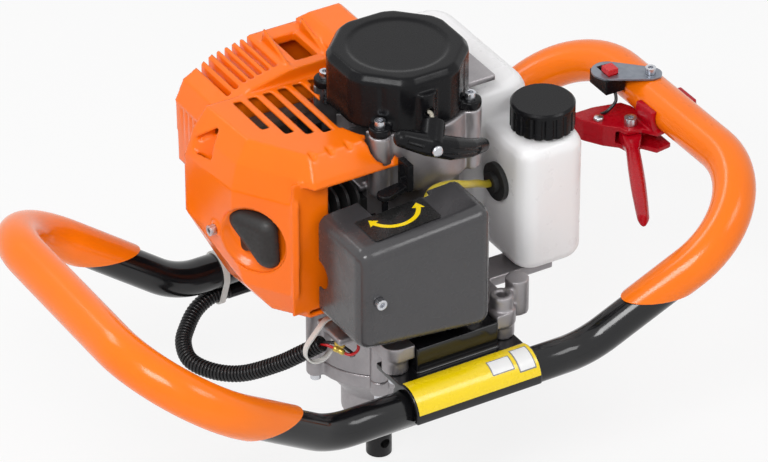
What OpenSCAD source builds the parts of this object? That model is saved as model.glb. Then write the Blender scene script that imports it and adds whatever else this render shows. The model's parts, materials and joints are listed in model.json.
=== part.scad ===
// Earth auger power head: two-hand tube frame, gearbox, two-stroke engine, tank and controls.
// Millimetres. +Z up, +X along the rails to the throttle hand, -Y towards the air filter.
// The origin is on the output shaft's axis, at its lower end.

/* [Tube frame] */
// Outside diameter of the frame tube
tube_d = 28; // [24:0.5:32]
// Wall of the frame tube
tube_wall = 1.5; // [1.2:0.1:3]
// Half the distance between the two rails
rail_y = 116; // [112:1:130]
// Height of the rails' centre above the shaft's end
rail_z = 125; // [115:1:140]
// Half the straight length of a rail between its bends
rail_half = 111; // [105:1:120]
// Distance from the shaft's axis to each hand hold
hoop_x = 259; // [250:1:280]
// Half the length of a hand hold between its bend corners
hoop_y = 148; // [140:1:160]
// Rise of the hand holds above the rails
hoop_rise = 101; // [90:1:110]
// Bend radius where a leg leaves the rail
rail_bend = 60; // [45:1:70]
// Bend radius at the hand hold's corners
hoop_bend = 70; // [60:1:75]
// Thickness of the dipped vinyl coat
grip_t = 2.5; // [1.5:0.1:4]
// Height above the rails where the coat starts
grip_from = 38; // [30:1:50]

/* [Saddle brackets] */
// Length of a saddle along the rail
bracket_l = 108; // [100:1:120]
// Thickness of the saddle round the tube
saddle_t = 4.5; // [3:0.1:6]
// Thickness of the flange under the gearbox feet
flange_t = 5; // [4:0.1:7]
// Height of the flange's top above the rail centre
flange_h = 16.5; // [14:0.1:18]
// Spacing of the feet along the rails
foot_dx = 92; // [88:1:96]
// Spacing of the feet across the rails
foot_dy = 176; // [174:1:180]

/* [Gears and shaft] */
// Diameter of the output shaft where the auger fits
shaft_d = 20; // [18:0.1:22]
// Length of the output shaft that the auger's socket takes
shaft_out = 40; // [36:1:44]
// Diameter of the cross hole for the auger's pin
pin_hole_d = 8; // [5:0.1:9]
// Teeth on each pinion
pinion_teeth = 12; // [12:1:14]
// Teeth on each wheel
wheel_teeth = 60; // [58:1:60]
// Module of the first stage
module_1 = 1.25; // [1.2:0.01:1.26]
// Module of the second stage
module_2 = 1.5; // [1.46:0.01:1.52]
// Distance from the output shaft's axis to the crank's axis
crank_x = 16; // [13:1:18]

/* [Engine] */
// Height of the cylinder's axis above the shaft's end
bore_z = 234; // [230:1:236]
// Cylinder bore
bore_d = 44; // [40:0.5:46]
// Piston stroke
stroke = 32; // [30:1:33]
// Outside radius of the crankcase
case_r = 46; // [44:0.5:48]
// Outside radius of the flywheel
flywheel_r = 46; // [42:0.5:47]
// Half the starter's screw spacing along X
starter_dx = 38.5; // [37:0.5:40]
// Half the starter's screw spacing along Y
starter_dy = 40; // [38:0.5:41]
// Outside radius of the starter cover
starter_r = 51; // [49:0.5:53]
// Height of the starter cover
starter_h = 44; // [42:1:52]
// Wall of the orange shroud
shroud_t = 2.6; // [2:0.1:3.5]

/* [Air filter] */
// Front face of the air filter cover, from the shaft's axis
filter_y = 112; // [108:1:116]
// Depth of the air filter cover
filter_depth = 64; // [60:1:66]
// Wall of the air filter cover
filter_t = 2.4; // [2:0.1:3]

/* [Fuel tank] */
// Wall of the fuel tank
tank_t = 2.2; // [1.6:0.1:3]
// Outside diameter of the fuel cap
cap_d = 49; // [46:0.5:52]
// Height of the fuel cap
cap_h = 21; // [19:0.5:24]

/* [Controls] */
// Thickness of the throttle lever
lever_t = 10; // [8:0.5:11]
// Diameter of the throttle lever's pivot
pivot_d = 6; // [5:0.1:7]
// Outside diameter of the cable sleeve and the ribbed conduit
conduit_d = 13; // [11:0.5:14]

/* [Hidden] */
$fn = 64;
// Clearances: pieces that rest on each other, running fits, and pieces that pass each other
rest = 0.1;
run_fit = 0.05;
pass = 0.4;
tr = tube_d / 2;
gr = tr + grip_t;
bracket_x = crank_x / 2;
grip_z = rail_z + grip_from;
hold_z = rail_z + hoop_rise;
saddle_r = tr + rest + saddle_t;
foot_z = rail_z + flange_h;
block_l = foot_dx - 22;
block_w = 22;
block_y = foot_dy / 2 - 8;
block_h = 21;
feet = [for (i = [-1, 1], j = [-1, 1]) [bracket_x + i * foot_dx / 2, j * foot_dy / 2]];
// Heights of the castings, from the shaft's end upwards
boss_z = shaft_out + 5;
split_z = rail_z - 20;
plate_z = foot_z + 11.5;
plate_t = 12;
bell_z = plate_z + plate_t;
case_z = bore_z - 34;
fan_z = bore_z + 36;
start_z = fan_z + 45;
top_z = start_z + starter_h;
// Gear centres: the idler's axis lies one centre distance from each of the other two
a1 = module_1 * (pinion_teeth + wheel_teeth) / 2;
a2 = module_2 * (pinion_teeth + wheel_teeth) / 2;
idler_x = (a2 * a2 - a1 * a1 + crank_x * crank_x) / (2 * crank_x);
idler_y = sqrt(a2 * a2 - idler_x * idler_x);
wheel_1_r = module_1 * wheel_teeth / 2 + module_1;
wheel_2_r = module_2 * wheel_teeth / 2 + module_2;
gear_2_z = split_z + 1.5;
gear_1_z = split_z + 19;
chamber_z = split_z + 36;
cx = crank_x;
throw = stroke / 2;
rod_l = 56;
piston_x = cx - throw - rod_l;
head_x = piston_x - 36;
tank_x = 88;
head_room = 12;
screw_x = -66;
screw_z = bore_z - 10;
rope_z = start_z + 17;
neck_end = [crank_x - 8, -64.5, rope_z - 4];
bar_at_rest = [crank_x - 18, -78, rope_z - 13];
hose_y = -27;
clamp_y = 5;
body_y = 22;
lever_z = hold_z - 21;
pivot = [hoop_x - 27, 13];
lever_tip = [hoop_x - 82, -90];
sleeve_z = rail_z - tr - conduit_d / 2 - 1;
// Route of the ribbed conduit from the rear rail to the gearbox's left side
conduit_route = [[-67, 116, 103.5], [-81, 116, 103], [-97, 111, 99], [-111, 100, 94], [-122, 86, 91],
  [-127, 65, 89], [-119, 42, 90],
  [-106, 20, 97], [-90, -5, 115], [-80, -20, 129], [-70, -34, 143]];
fuel_route = [[92, -27, 232], [85, -27, 232], [78, -27.2, 232.3], [70, -33, 238], [58, -45, 249], [42,
  -57, 260], [24, -61, 268],
  [9, -61, 267], [1, -64, 256], [-3, -69, 246], [-9, -71.7, 242.4], [-18, -72, 242]];

function unit(v) = v / norm(v);
function seg(p, i) = unit(p[i + 1] - p[i]);
function side_of(p, i) = let(u = seg(p, i - 1), v = seg(p, i)) unit(v - (u * v) * u);
function turn(p, i) = acos(seg(p, i - 1) * seg(p, i));
function reach(p, b, i) = i == 0 || i == len(p) - 1 ? 0 : b[i] * tan(turn(p, i) / 2);
module rod(a, b, r) {
  d = b - a;
  translate(a) rotate([0, acos(d.z / norm(d)), atan2(d.y, d.x)]) cylinder(h = norm(d), r = r);
}
module ring(ro, ri, z0, z1) {
  translate([0, 0, z0]) difference() {
    cylinder(r = ro, h = z1 - z0);
    translate([0, 0, -1]) cylinder(r = ri, h = z1 - z0 + 2);
  }
}
// A closed sweep of rings with sides s along points q; radii ro outside and ri inside
function tangent(q, i) = unit(q[min(i + 1, len(q) - 1)] - q[max(i - 1, 0)]);
function ring_at(q, i, r, s) = let(t = tangent(q, i), n = unit(cross(t, [0, 0, 1])), b = cross(n, t))
  [for (k = [0 : s - 1]) q[i] + r * (n * cos(360 * k / s) + b * sin(360 * k / s))];
function skin(n, s, o, flip) = [for (i = [0 : n - 2], k = [0 : s - 1]) let(a = o + i * s + k,
  b = o + i * s + (k + 1) % s)
  each flip ? [[a, b, b + s], [a, b + s, a + s]] : [[a, b + s, b], [a, a + s, b + s]]];
function rim(s, a, b, flip) = [for (k = [0 : s - 1]) let(j = (k + 1) % s)
  each flip ? [[a + k, b + k, b + j], [a + k, b + j, a + j]] : [[a + k, b + j, b + k], [a + k, a + j,
    b + j]]];
module tube_sweep(q, ro, w, ri, s) {
  n = len(q);
  m = len(w);
  outer = [for (i = [0 : n - 1]) each ring_at(q, i, ro[i], s)];
  inner = [for (i = [0 : m - 1]) each ring_at(w, i, ri, s)];
  polyhedron(concat(outer, inner), concat(skin(n, s, 0, false), skin(m, s, n * s, true),
    rim(s, 0, n * s, false), rim(s, (n - 1) * s, n * s + (m - 1) * s, true)));
}
// Points along a bent line, with k steps in each bend
function bent(p, b, k) = concat([p[0]], [for (i = [1 : len(p) - 2]) let(u = seg(p, i - 1),
  n = side_of(p, i), t = turn(p, i),
  s = p[i] - u * reach(p, b, i)) each [for (j = [0 : k]) s + n * b[i] * (1 - cos(t * j / k))
    + u * b[i] * sin(t * j / k)]],
  [p[len(p) - 1]]);
// Smooth points through a route, k steps between neighbours
function spline(p, k) = concat([for (i = [0 : len(p) - 2], j = [0 : k - 1]) let(t = j / k,
  a = p[max(i - 1, 0)], b = p[i],
  c = p[i + 1], d = p[min(i + 2, len(p) - 1)])
  0.5 * (2 * b + t * (c - a) + t * t * (2 * a - 5 * b + 4 * c - d)
    + t * t * t * (3 * b - a - 3 * c + d))], [p[len(p) - 1]]);
// Outline of a rectangle with rounded corners, centred
function rounded(w, h, r, k = 6) = [for (c = [[1, 1, 0], [-1, 1, 90], [-1, -1, 180], [1, -1, 270]],
  j = [0 : k])
  [c.x * (w / 2 - r), c.y * (h / 2 - r)] + r * [cos(c.z + 90 * j / k), sin(c.z + 90 * j / k)]];
// Outline of a belt round two circles
function belt(c1, r1, c2, r2, k = 24) = let(d = norm(c2 - c1), e = atan2(c2.y - c1.y, c2.x - c1.x),
  g = acos((r1 - r2) / d))
  concat([for (j = [0 : k]) c1 + r1 * [cos(e + g + (360 - 2 * g) * j / k), sin(e + g + (360 - 2 * g)
    * j / k)]],
    [for (j = [0 : k]) c2 + r2 * [cos(e - g + 2 * g * j / k), sin(e - g + 2 * g * j / k)]]);
// A block with rounded upright edges and a soft top and bottom
module soft_block(w, l, h, r, e) {
  hull() {
    linear_extrude(h) polygon(rounded(w - 2 * e, l - 2 * e, max(r - e, 1)));
    translate([0, 0, e * 0.3]) linear_extrude(h - e * 0.6) polygon(rounded(w - e * 0.6, l - e * 0.6, r));
    translate([0, 0, e]) linear_extrude(h - 2 * e) polygon(rounded(w, l, r));
  }
}
function inv(a) = tan(a) * 180 / PI - a;
function tooth_at(r, rb, h) = h + inv(25) - inv(acos(min(1, rb / r)));
function gear_points(z, m) = let(rp = m * z / 2, rb = rp * cos(25), ra = rp + 0.85 * m, rf = rp - 1.1 * m,
  h = (PI * m / 2 - 0.16) / (2 * rp) * 180 / PI, r0 = max(rb, rf), q = [for (j = [0 : 3])
    r0 + (ra - r0) * j / 3],
  f = tooth_at(r0, rb, h)) [for (i = [0 : z - 1]) let(c = 360 * i / z) each concat(
    rf < r0 ? [rf * [cos(c - f), sin(c - f)]] : [],
    [for (j = [0 : 3]) let(t = tooth_at(q[j], rb, h)) q[j] * [cos(c - t), sin(c - t)]],
    [for (j = [3 : -1 : 0]) let(t = tooth_at(q[j], rb, h)) q[j] * [cos(c + t), sin(c + t)]],
    rf < r0 ? [rf * [cos(c + f), sin(c + f)]] : [])];
module gear(z, m, h, phase) {
  rotate([0, 0, phase]) linear_extrude(h) polygon(gear_points(z, m));
}
// A socket screw, head up, the seat of its head at the origin
module screw(d, l) {
  difference() {
    union() {
      cylinder(d = 1.65 * d, h = d);
      translate([0, 0, -l]) cylinder(d = d, h = l + 0.5);
    }
    translate([0, 0, d * 0.45]) cylinder(d = 0.95 * d, h = d, $fn = 6);
  }
}

function hoop_line(s, over) = [[bracket_x - s * over, -rail_y, rail_z], [s * rail_half, -rail_y, rail_z],
  [s * hoop_x, -hoop_y, hold_z], [s * hoop_x, hoop_y, hold_z], [s * rail_half, rail_y, rail_z],
  [bracket_x - s * over, rail_y, rail_z]];
hoop_bends = [0, rail_bend, hoop_bend, hoop_bend, rail_bend, 0];
module hoop(s) {
  q = bent(hoop_line(s, 0), hoop_bends, 6);
  difference() {
    tube_sweep(q, [for (i = q) tr], q, tr - tube_wall, 16);
    if (s > 0) translate([hoop_x, 28, hold_z]) cylinder(d = 5.4, h = gr + 2);
  }
}
module grip(s) {
  q = bent(hoop_line(s, 0), hoop_bends, 6);
  difference() {
    tube_sweep(q, [for (i = q) gr], q, tr + rest, 16);
    translate([-400, -300, -10]) cube([800, 600, grip_z + 10]);
    if (s > 0) translate([hoop_x, 28, hold_z]) cylinder(d = 5.4, h = gr + 2);
  }
}
module left_hoop() { color("#1a1a1c") hoop(-1); }
module right_hoop() { color("#1a1a1c") hoop(1); }
module left_grip() { color("#f08a1e") grip(-1); }
module right_grip() { color("#f08a1e") grip(1); }
// A saddle over the rail with a flange that runs in under the feet
module bracket(s) {
  difference() {
    union() {
      translate([bracket_x - bracket_l / 2, s * rail_y, rail_z]) rotate([0, 90, 0])
        cylinder(r = saddle_r, h = bracket_l);
      translate([bracket_x - bracket_l / 2, s > 0 ? foot_dy / 2 - 14 : -rail_y, foot_z - flange_t])
        cube([bracket_l, rail_y - foot_dy / 2 + 14, flange_t]);
      translate([bracket_x - block_l / 2, s > 0 ? block_y : -block_y - block_w, foot_z - 1])
        cube([block_l, block_w, block_h + 1]);
    }
    translate([bracket_x - bracket_l / 2 - 1, s * rail_y, rail_z]) rotate([0, 90, 0])
      cylinder(r = tr + rest, h = bracket_l + 2);
    translate([bracket_x - bracket_l / 2 - 1, s * rail_y - 30, rail_z - 40]) cube([bracket_l + 2, 60, 35]);
    for (f = feet) translate([f.x, f.y, foot_z - 20]) cylinder(d = 6.6, h = 40);
    for (f = feet) translate([f.x, f.y, foot_z - flange_t - 40]) cylinder(d = head_room, h = 40);
    translate([0, 0, foot_z - 20]) linear_extrude(40) polygon(belt([0, 0], wheel_2_r + 7.5, [idler_x,
      idler_y], wheel_1_r + 7.5));
  }
}
module front_bracket() { color("#17171a") bracket(-1); }
module rear_bracket() { color("#17171a") bracket(1); }
module bracket_screws() {
  color("#b9bcc2") for (f = feet) translate([f.x, f.y, foot_z - flange_t]) rotate([180, 0, 0]) screw(6,
    flange_t + 16);
}
module gearbox_housing() {
  color("#a9a7ab") difference() {
    union() {
      translate([bracket_x, 0, plate_z]) linear_extrude(plate_t) polygon(rounded(foot_dx + 22,
        foot_dy + 22, 11));
      for (f = feet) translate([f.x, f.y, foot_z]) cylinder(r = 10, h = plate_z - foot_z + 1);
      translate([0, 0, split_z]) linear_extrude(plate_z - split_z + 1)
        polygon(belt([0, 0], wheel_2_r + 6.5, [idler_x, idler_y], wheel_1_r + 6.5));
      for (a = lug_at) translate([a.x, a.y, split_z]) cylinder(r = 7, h = plate_z - split_z + 1);
      for (x = [0, 17]) translate([bracket_x + foot_dx / 2 + x, -foot_dy / 2 + x / 3, plate_z])
        cylinder(r = 9, h = 24 + x / 3);
      translate([bracket_x + 40, -52, plate_z + 4]) cube([74, 26, plate_t - 4]);
      translate([bracket_x + 40, 44, plate_z + 4]) cube([64, 30, plate_t - 4]);
      translate([bracket_x - 76, -58, plate_z]) cube([30, 12, 6]);
      translate([bracket_x - 76, -58, plate_z]) cube([10, 34, 6]);
    }
    translate([0, 0, split_z - 1]) linear_extrude(chamber_z - split_z + 1)
      polygon(belt([0, 0], wheel_2_r + 2, [idler_x, idler_y], wheel_1_r + 2));
    translate([cx, 0, chamber_z - 1]) cylinder(r = 16 + rest, h = 22);
    translate([cx, 0, chamber_z - 1]) cylinder(r = 9, h = 60);
    translate([idler_x, idler_y, chamber_z - 1]) cylinder(r = 11 + rest, h = 11);
    for (f = feet) translate([f.x, f.y, foot_z - 1]) cylinder(d = 6.2, h = 19);
    for (j = [-1, 1]) translate([bracket_x - block_l / 2 - pass, j > 0 ? block_y - pass : -rail_y,
      plate_z - 1])
      cube([block_l + 2 * pass, rail_y - block_y + pass, plate_t + 2]);
    translate([bracket_x + foot_dx / 2, -foot_dy / 2, bell_z + 4]) cylinder(d = 8, h = 20);
    for (f = feet) translate([f.x, f.y, foot_z - flange_t - 40]) cylinder(d = head_room, h = 40 + flange_t);
    for (a = lug_at) translate([a.x, a.y, split_z - 1]) cylinder(d = 5.2, h = 19);
    for (e = bell_at) translate([e.x, e.y, bell_z - 11]) cylinder(d = 6.2, h = 20);
  }
}
// Screw lugs round the gear chamber and round the clutch bell
lug_at = [for (t = [115, 180, 240, 300]) (wheel_2_r + 9) * [cos(t), sin(t)]];
bell_at = [for (i = [-1, 1], j = [-1, 1]) [cx + i * 40, j * 40]];
module gearbox_cover() {
  color("#a3a1a6") difference() {
    union() {
      translate([0, 0, boss_z]) cylinder(r = 29, h = 22);
      translate([0, 0, boss_z + 21]) cylinder(r1 = 29, r2 = wheel_2_r + 2, h = split_z - boss_z - 33);
      translate([0, 0, split_z - 12.5]) linear_extrude(12.5)
        polygon(belt([0, 0], wheel_2_r + 6.5, [idler_x, idler_y], wheel_1_r + 6.5));
      for (a = lug_at) translate([a.x, a.y, split_z - 12.5]) cylinder(r = 7, h = 12.5);
    }
    translate([0, 0, boss_z - 1]) cylinder(r = 23.5 + rest, h = 20);
    translate([0, 0, boss_z]) cylinder(r = 17, h = 60);
    translate([0, 0, split_z - 12]) cylinder(r = 23.5 + rest, h = 20);
    translate([idler_x, idler_y, split_z - 8]) cylinder(r = 8 + rest, h = 20);
    for (a = lug_at) translate([a.x, a.y, split_z - 20]) cylinder(d = 5.6, h = 40);
  }
}
module gearbox_bearings() {
  color("#c3c6cc") {
    ring(23.5, 12.5 + run_fit, boss_z + 7, boss_z + 18.5);
    ring(23.5, 12.5 + run_fit, split_z - 11.9, split_z);
    translate([cx, 0, 0]) ring(16, 6 + run_fit, chamber_z + 0.5, chamber_z + 10);
    translate([cx, 0, 0]) ring(16, 6 + run_fit, chamber_z + 10.5, chamber_z + 20);
    translate([idler_x, idler_y, 0]) ring(8, 5 + run_fit, split_z - 7.9, split_z);
    translate([idler_x, idler_y, 0]) ring(11, 5 + run_fit, chamber_z, chamber_z + 9.9);
    translate([cx, 0, 0]) ring(20, 8.5 + run_fit, case_z + 5, case_z + 16);
    translate([cx, 0, 0]) ring(20, 8.5 + run_fit, fan_z - 18, fan_z - 7);
  }
}
module output_seal() { color("#222222") ring(23.5, 12.5 + run_fit, boss_z + 0.5, boss_z + 6.5); }
// Bell round the clutch, with ears at its four corners
module clutch_housing() {
  color("#a9a7ab") difference() {
    union() {
      translate([cx, 0, bell_z]) cylinder(r = 48, h = case_z - bell_z);
      translate([cx, 0, bell_z]) linear_extrude(8) polygon(rounded(98, 98, 9));
      translate([cx, 0, case_z - 8]) linear_extrude(8) polygon(rounded(98, 98, 9));
      for (e = bell_at) translate([e.x, e.y, bell_z]) cylinder(r = 8, h = case_z - bell_z);
    }
    translate([cx, 0, bell_z - 1]) cylinder(r = 43, h = 60);
    for (e = bell_at) translate([e.x, e.y, bell_z - 1]) cylinder(d = 6.6, h = 60);
  }
}
module case_screws() {
  color("#b9bcc2") {
    for (e = bell_at) translate([e.x, e.y, case_z + 8]) screw(6, case_z + 8 - bell_z + 9);
    for (a = lug_at) translate([a.x, a.y, split_z - 12.5]) rotate([180, 0, 0]) screw(5, 28);
    for (i = [-1, 1], j = [-1, 1]) translate([cx + i * starter_dx, j * starter_dy, start_z + 7])
      screw(5, 22);
  }
}
// Both crankcase halves share one outline: a barrel with a square mouth for the cylinder
module case_half(z0, z1) {
  translate([cx, 0, z0]) cylinder(r = case_r, h = z1 - z0);
  translate([cx - 46, -34, z0]) cube([46, 68, z1 - z0]);
}
module crankcase_lower() {
  color("#9b999e") difference() {
    union() {
      case_half(case_z + 8.2, bore_z);
      translate([cx, 0, case_z]) cylinder(r = 30, h = 9);
      translate([cx, 0, case_z]) linear_extrude(8) polygon(rounded(98, 98, 9));
    }
    translate([cx, 0, bore_z - 17.5]) cylinder(r = 36, h = 40);
    translate([cx - 60, 0, bore_z]) rotate([0, 90, 0]) cylinder(d = bore_d + 6.4, h = 60);
    translate([cx, 0, case_z - 1]) cylinder(r = 11, h = 60);
    translate([cx, 0, case_z + 5]) cylinder(r = 20 + rest, h = 30);
    translate([cx - 62, -36, case_z + 7]) cube([16.2, 72, 60]);
    for (e = bell_at) translate([e.x, e.y, case_z - 1]) cylinder(d = 6.6, h = 60);
    for (e = bell_at) translate([e.x, e.y, case_z + 8]) cylinder(r = 7, h = 60);
  }
}
module crankcase_upper() {
  color("#9b999e") difference() {
    union() {
      case_half(bore_z + rest, fan_z - 5);
      translate([cx, 0, fan_z - 6]) cylinder(r = 30, h = 6);
    }
    translate([cx, 0, bore_z - 1]) cylinder(r = 36, h = 18.5);
    translate([cx - 60, 0, bore_z]) rotate([0, 90, 0]) cylinder(d = bore_d + 6.4, h = 60);
    translate([cx, 0, bore_z]) cylinder(r = 11, h = 60);
    translate([cx, 0, bore_z]) cylinder(r = 20 + rest, h = fan_z - 7 - bore_z);
  }
}
// The crank's two halves turn; the pin between their webs stays with the rod
module crankshaft() {
  color("#8f9298") translate([cx, 0, 0]) {
    translate([0, 0, bore_z + 6.7]) cylinder(r = 33, h = 10);
    translate([0, 0, bore_z + 16]) cylinder(r = 8.5, h = fan_z + 5 - bore_z - 16);
    translate([0, 0, fan_z + 4]) cylinder(r = 7, h = 34);
    translate([0, 0, bore_z - 16.7]) cylinder(r = 33, h = 10);
    translate([0, 0, bell_z + 11]) cylinder(r = 8.5, h = bore_z - 16 - bell_z - 11);
  }
}
module connecting_rod() {
  color("#8f9298") {
    translate([cx - throw, 0, bore_z - 6.5]) cylinder(r = 8, h = 13);
    difference() {
      union() {
        translate([cx - throw, 0, bore_z - 5.5]) cylinder(r = 13, h = 11);
        translate([piston_x, 0, bore_z - 5.5]) cylinder(r = 9, h = 11);
        translate([piston_x, -5, bore_z - 3.5]) cube([rod_l, 10, 7]);
      }
      translate([cx - throw, 0, bore_z - 20]) cylinder(r = 8 + run_fit, h = 40);
      translate([piston_x, 0, bore_z - 20]) cylinder(r = 5 + run_fit, h = 40);
    }
  }
}
module piston() {
  color("#b5b6ba") {
    difference() {
      translate([piston_x - 20, 0, bore_z]) rotate([0, 90, 0]) cylinder(d = bore_d - 0.2, h = 42);
      translate([piston_x - 15, 0, bore_z]) rotate([0, 90, 0]) cylinder(d = bore_d - 7, h = 40);
      translate([piston_x, 0, bore_z - 40]) cylinder(r = 5 + rest, h = 80);
    }
    translate([piston_x, 0, bore_z - bore_d / 2 + 1]) cylinder(r = 5, h = bore_d - 2);
  }
}
// Finned barrel and head, with the inlet face at the front and the exhaust face behind
module cylinder_block() {
  translate([head_x, 0, bore_z]) rotate([0, 90, 0]) cylinder(d = bore_d + 9, h = cx - 46 - head_x);
  for (i = [0 : 6]) translate([head_x + i * 8.6, 0, bore_z]) rotate([0, 90, 0])
    linear_extrude(2.2) polygon(rounded(76, 78, 12));
  translate([cx - 52, -34, bore_z - 25]) cube([6, 68, 50]);
  for (j = [-1, 1]) translate([piston_x - 6, j * 35 - 10, bore_z - 15]) cube([30, 20, 30]);
}
module cylinder_barrel() {
  color("#2a2a2c") difference() {
    cylinder_block();
    translate([head_x + 9, 0, bore_z]) rotate([0, 90, 0]) cylinder(d = bore_d, h = 120);
    translate([head_x - 10, 0, bore_z]) rotate([0, 90, 0]) cylinder(r = 7 + rest, h = 40);
    for (j = [0, 180]) translate([piston_x + 9, 0, bore_z]) rotate([90, 0, j]) cylinder(r = 9, h = 60);
  }
}
module spark_plug() {
  color("#d8d8da") {
    translate([head_x, 0, bore_z]) rotate([0, 90, 0]) cylinder(r = 7, h = 8.6);
    translate([head_x - 7, 0, bore_z]) rotate([0, 90, 0]) cylinder(r = 10.4, h = 7, $fn = 6);
    translate([head_x - 18, 0, bore_z]) rotate([0, 90, 0]) cylinder(r = 5, h = 12);
    translate([head_x - 22, 0, bore_z]) rotate([0, 90, 0]) cylinder(r = 3, h = 5);
  }
}
// Rubber elbow over the plug, its lead leaving down and forward
module plug_boot() {
  color("#202022") difference() {
    union() {
      translate([head_x - 24, 0, bore_z]) rotate([0, 90, 0]) cylinder(r = 11, h = 14);
      hull() for (p = [[-21, 2, 15], [-13, -17, 14], [-12, -19, -7]])
        translate([head_x + p.x, p.y, bore_z + p.z]) sphere(r = 11.4, $fn = 28);
    }
    translate([head_x - 18.1, 0, bore_z]) rotate([0, 90, 0]) cylinder(r = 5 + rest, h = 30);
    translate([head_x - 22.1, 0, bore_z]) rotate([0, 90, 0]) cylinder(r = 3 + rest, h = 30);
    translate([head_x - 9.6, -60, bore_z - 40]) cube([30, 100, 80]);
  }
}
module ignition_coil() {
  color("#3a2f2c") translate([cx - flywheel_r - 24, 14, bore_z + 38 + rest]) {
    cube([23, 24, 22]);
    translate([4, 4, 21]) cube([12, 16, 6]);
  }
}
// Cast fan housing: floor plate, scroll wall open towards the cylinder, four screw posts, top shelf
module fan_housing() {
  posts = [for (i = [-1, 1], j = [-1, 1]) [cx + i * starter_dx, j * starter_dy]];
  color("#a9a7ab") difference() {
    union() {
      translate([cx, 0, fan_z - 5 + rest]) cylinder(r = 55, h = 5 - rest);
      translate([cx - 52, -34, fan_z - 5 + rest]) cube([34, 72, 5 - rest]);
      translate([cx, 0, fan_z - 5 + rest]) cylinder(r = 55, h = start_z - fan_z + 5 - rest);
      for (p = posts) translate([p.x, p.y, fan_z - 5 + rest]) cylinder(r = 8.5,
        h = start_z - fan_z + 5 - rest);
      translate([cx + 30, -12, start_z - 5]) cube([48, 62, 5]);
    }
    translate([cx, 0, fan_z]) cylinder(r = flywheel_r + 4, h = 100);
    translate([cx, 0, fan_z - 10]) cylinder(r = 30 + pass, h = 100);
    translate([cx - 84, -40, fan_z - 10]) cube([30.2, 80, 12.4]);
    translate([cx - 80, -30, fan_z]) cube([60, 72, 100]);
    for (p = posts) translate([p.x, p.y, start_z - 16]) cylinder(d = 5.2, h = 30);
  }
}
module starter_cover() {
  ry = -starter_r + 3;
  color("#1d1d20") difference() {
    union() {
      intersection() {
        translate([cx, 0, start_z + rest]) rotate([0, 0, 22.5]) cylinder(r = (starter_r - 0.5)
          / cos(22.5), h = starter_h - 5, $fn = 8);
        translate([cx, 0, start_z]) cylinder(r = starter_r + 1.6, h = starter_h);
      }
      intersection() {
        translate([cx, 0, top_z - 5]) rotate([0, 0, 22.5])
          cylinder(r1 = (starter_r - 0.5) / cos(22.5), r2 = (starter_r - 4.5) / cos(22.5), h = 5, $fn = 8);
        translate([cx, 0, top_z - 5]) cylinder(r1 = starter_r + 1.6, r2 = starter_r - 2.4, h = 5);
      }
      for (i = [-1, 1], j = [-1, 1]) translate([cx + i * starter_dx, j * starter_dy, start_z + rest])
        cylinder(r = 8.5, h = 7 - rest);
      translate([cx - 6, ry, start_z + rest]) cylinder(r = 9, h = 32);
    }
    difference() {
      translate([cx, 0, start_z - 1]) cylinder(r = starter_r - 4, h = starter_h - 3);
      translate([cx, 0, start_z + 4]) cylinder(r = 5, h = 60);
    }
    translate([cx, 0, top_z - 1.2]) cylinder(r = 38, h = 3);
    translate([cx - 6, -30, rope_z]) rotate([90, 0, 0]) cylinder(r = 3, h = 60);
    for (i = [-1, 1], j = [-1, 1]) translate([cx + i * starter_dx, j * starter_dy, start_z - 1])
      cylinder(d = 5.6, h = 20);
    for (i = [-1, 1], j = [-1, 1]) translate([cx + i * starter_dx, j * starter_dy, start_z + 7])
      cylinder(r = 5.5, h = 30);
  }
}
// Outlines of the shroud at the bottom, the belly and the top; k draws them in by the wall
function waist(k) = [[-8, -57 + k], [-86 + 0.4 * k, -57 + k], [-119 + k, -6], [-115 + k, 54 - k], [-6,
  54 - k]];
function belly(k) = [[-6, -58 + k], [-86 + 0.4 * k, -58 + k], [-125 + k, 0], [-130 + k, 62 - k], [0,
  62 - k]];
function keel(k) = [[-14, -46 + k], [-82, -46 + k], [-102 + k, -18], [-106 + k, 42 - k], [-14, 42 - k]];
function brow(k) = [[0, -50 + k], [-84, -50 + k], [-119 + k, 2], [-123 + k, 62 - k], [0, 62 - k]];
function crown(k) = [[0, -38 + k], [-80, -38 + k], [-108 + k, 6], [-111 + k, 62 - k], [0, 62 - k]];
module shroud_form(k) {
  hull() {
    translate([0, 0, bore_z - 58 + k]) linear_extrude(1) polygon(keel(k));
    translate([0, 0, bore_z - 36]) linear_extrude(1) polygon(waist(k));
    translate([0, 0, bore_z - 6]) linear_extrude(50) polygon(belly(k));
    translate([0, 0, bore_z + 62 - k]) linear_extrude(1) polygon(brow(k));
    translate([0, 0, bore_z + 78 - k]) linear_extrude(1) polygon(crown(k));
  }
}
// Front end of each air slot in the crown
crown_slot = [12, -2, -10, -14, -15, -14];
// Guard over the silencer, its top rising towards the fan; its floor is open
function guard_line(k) = [[-104 + k, bore_z - 1], [-106 + k, bore_z + 52], [-99 + k, bore_z + 68 - k],
  [-74 + k, bore_z + 82 - k],
  [-42, bore_z + 89 - k], [32 - k, bore_z + 89 - k], [34 - k, bore_z + 80 - k], [34 - k, bore_z - 1]];
module guard_form(k) {
  translate([0, 120 - k, -2 * k]) rotate([90, 0, 0]) linear_extrude(60 - 2 * k) polygon(guard_line(k));
}
module hump_form(k) {
  hull() {
    translate([-4 + k, 62 + k, bore_z + 80]) cube([40 - 2 * k, 54 - 2 * k, 14 - k]);
    translate([4 + k, 68 + k, bore_z + 80]) cube([26 - 2 * k, 42 - 2 * k, 20 - k]);
  }
}
// Three-sided dent at the shoulder
module dent(k) {
  hull() for (p = [[-132, 60, 54], [-97, 43, 72], [-112, 32, 35], [-140, 30, 76]])
    translate([p.x + 1.3 * k, p.y - 0.8 * k, bore_z + p.z - 0.9 * k]) cube(0.1);
}
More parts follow.
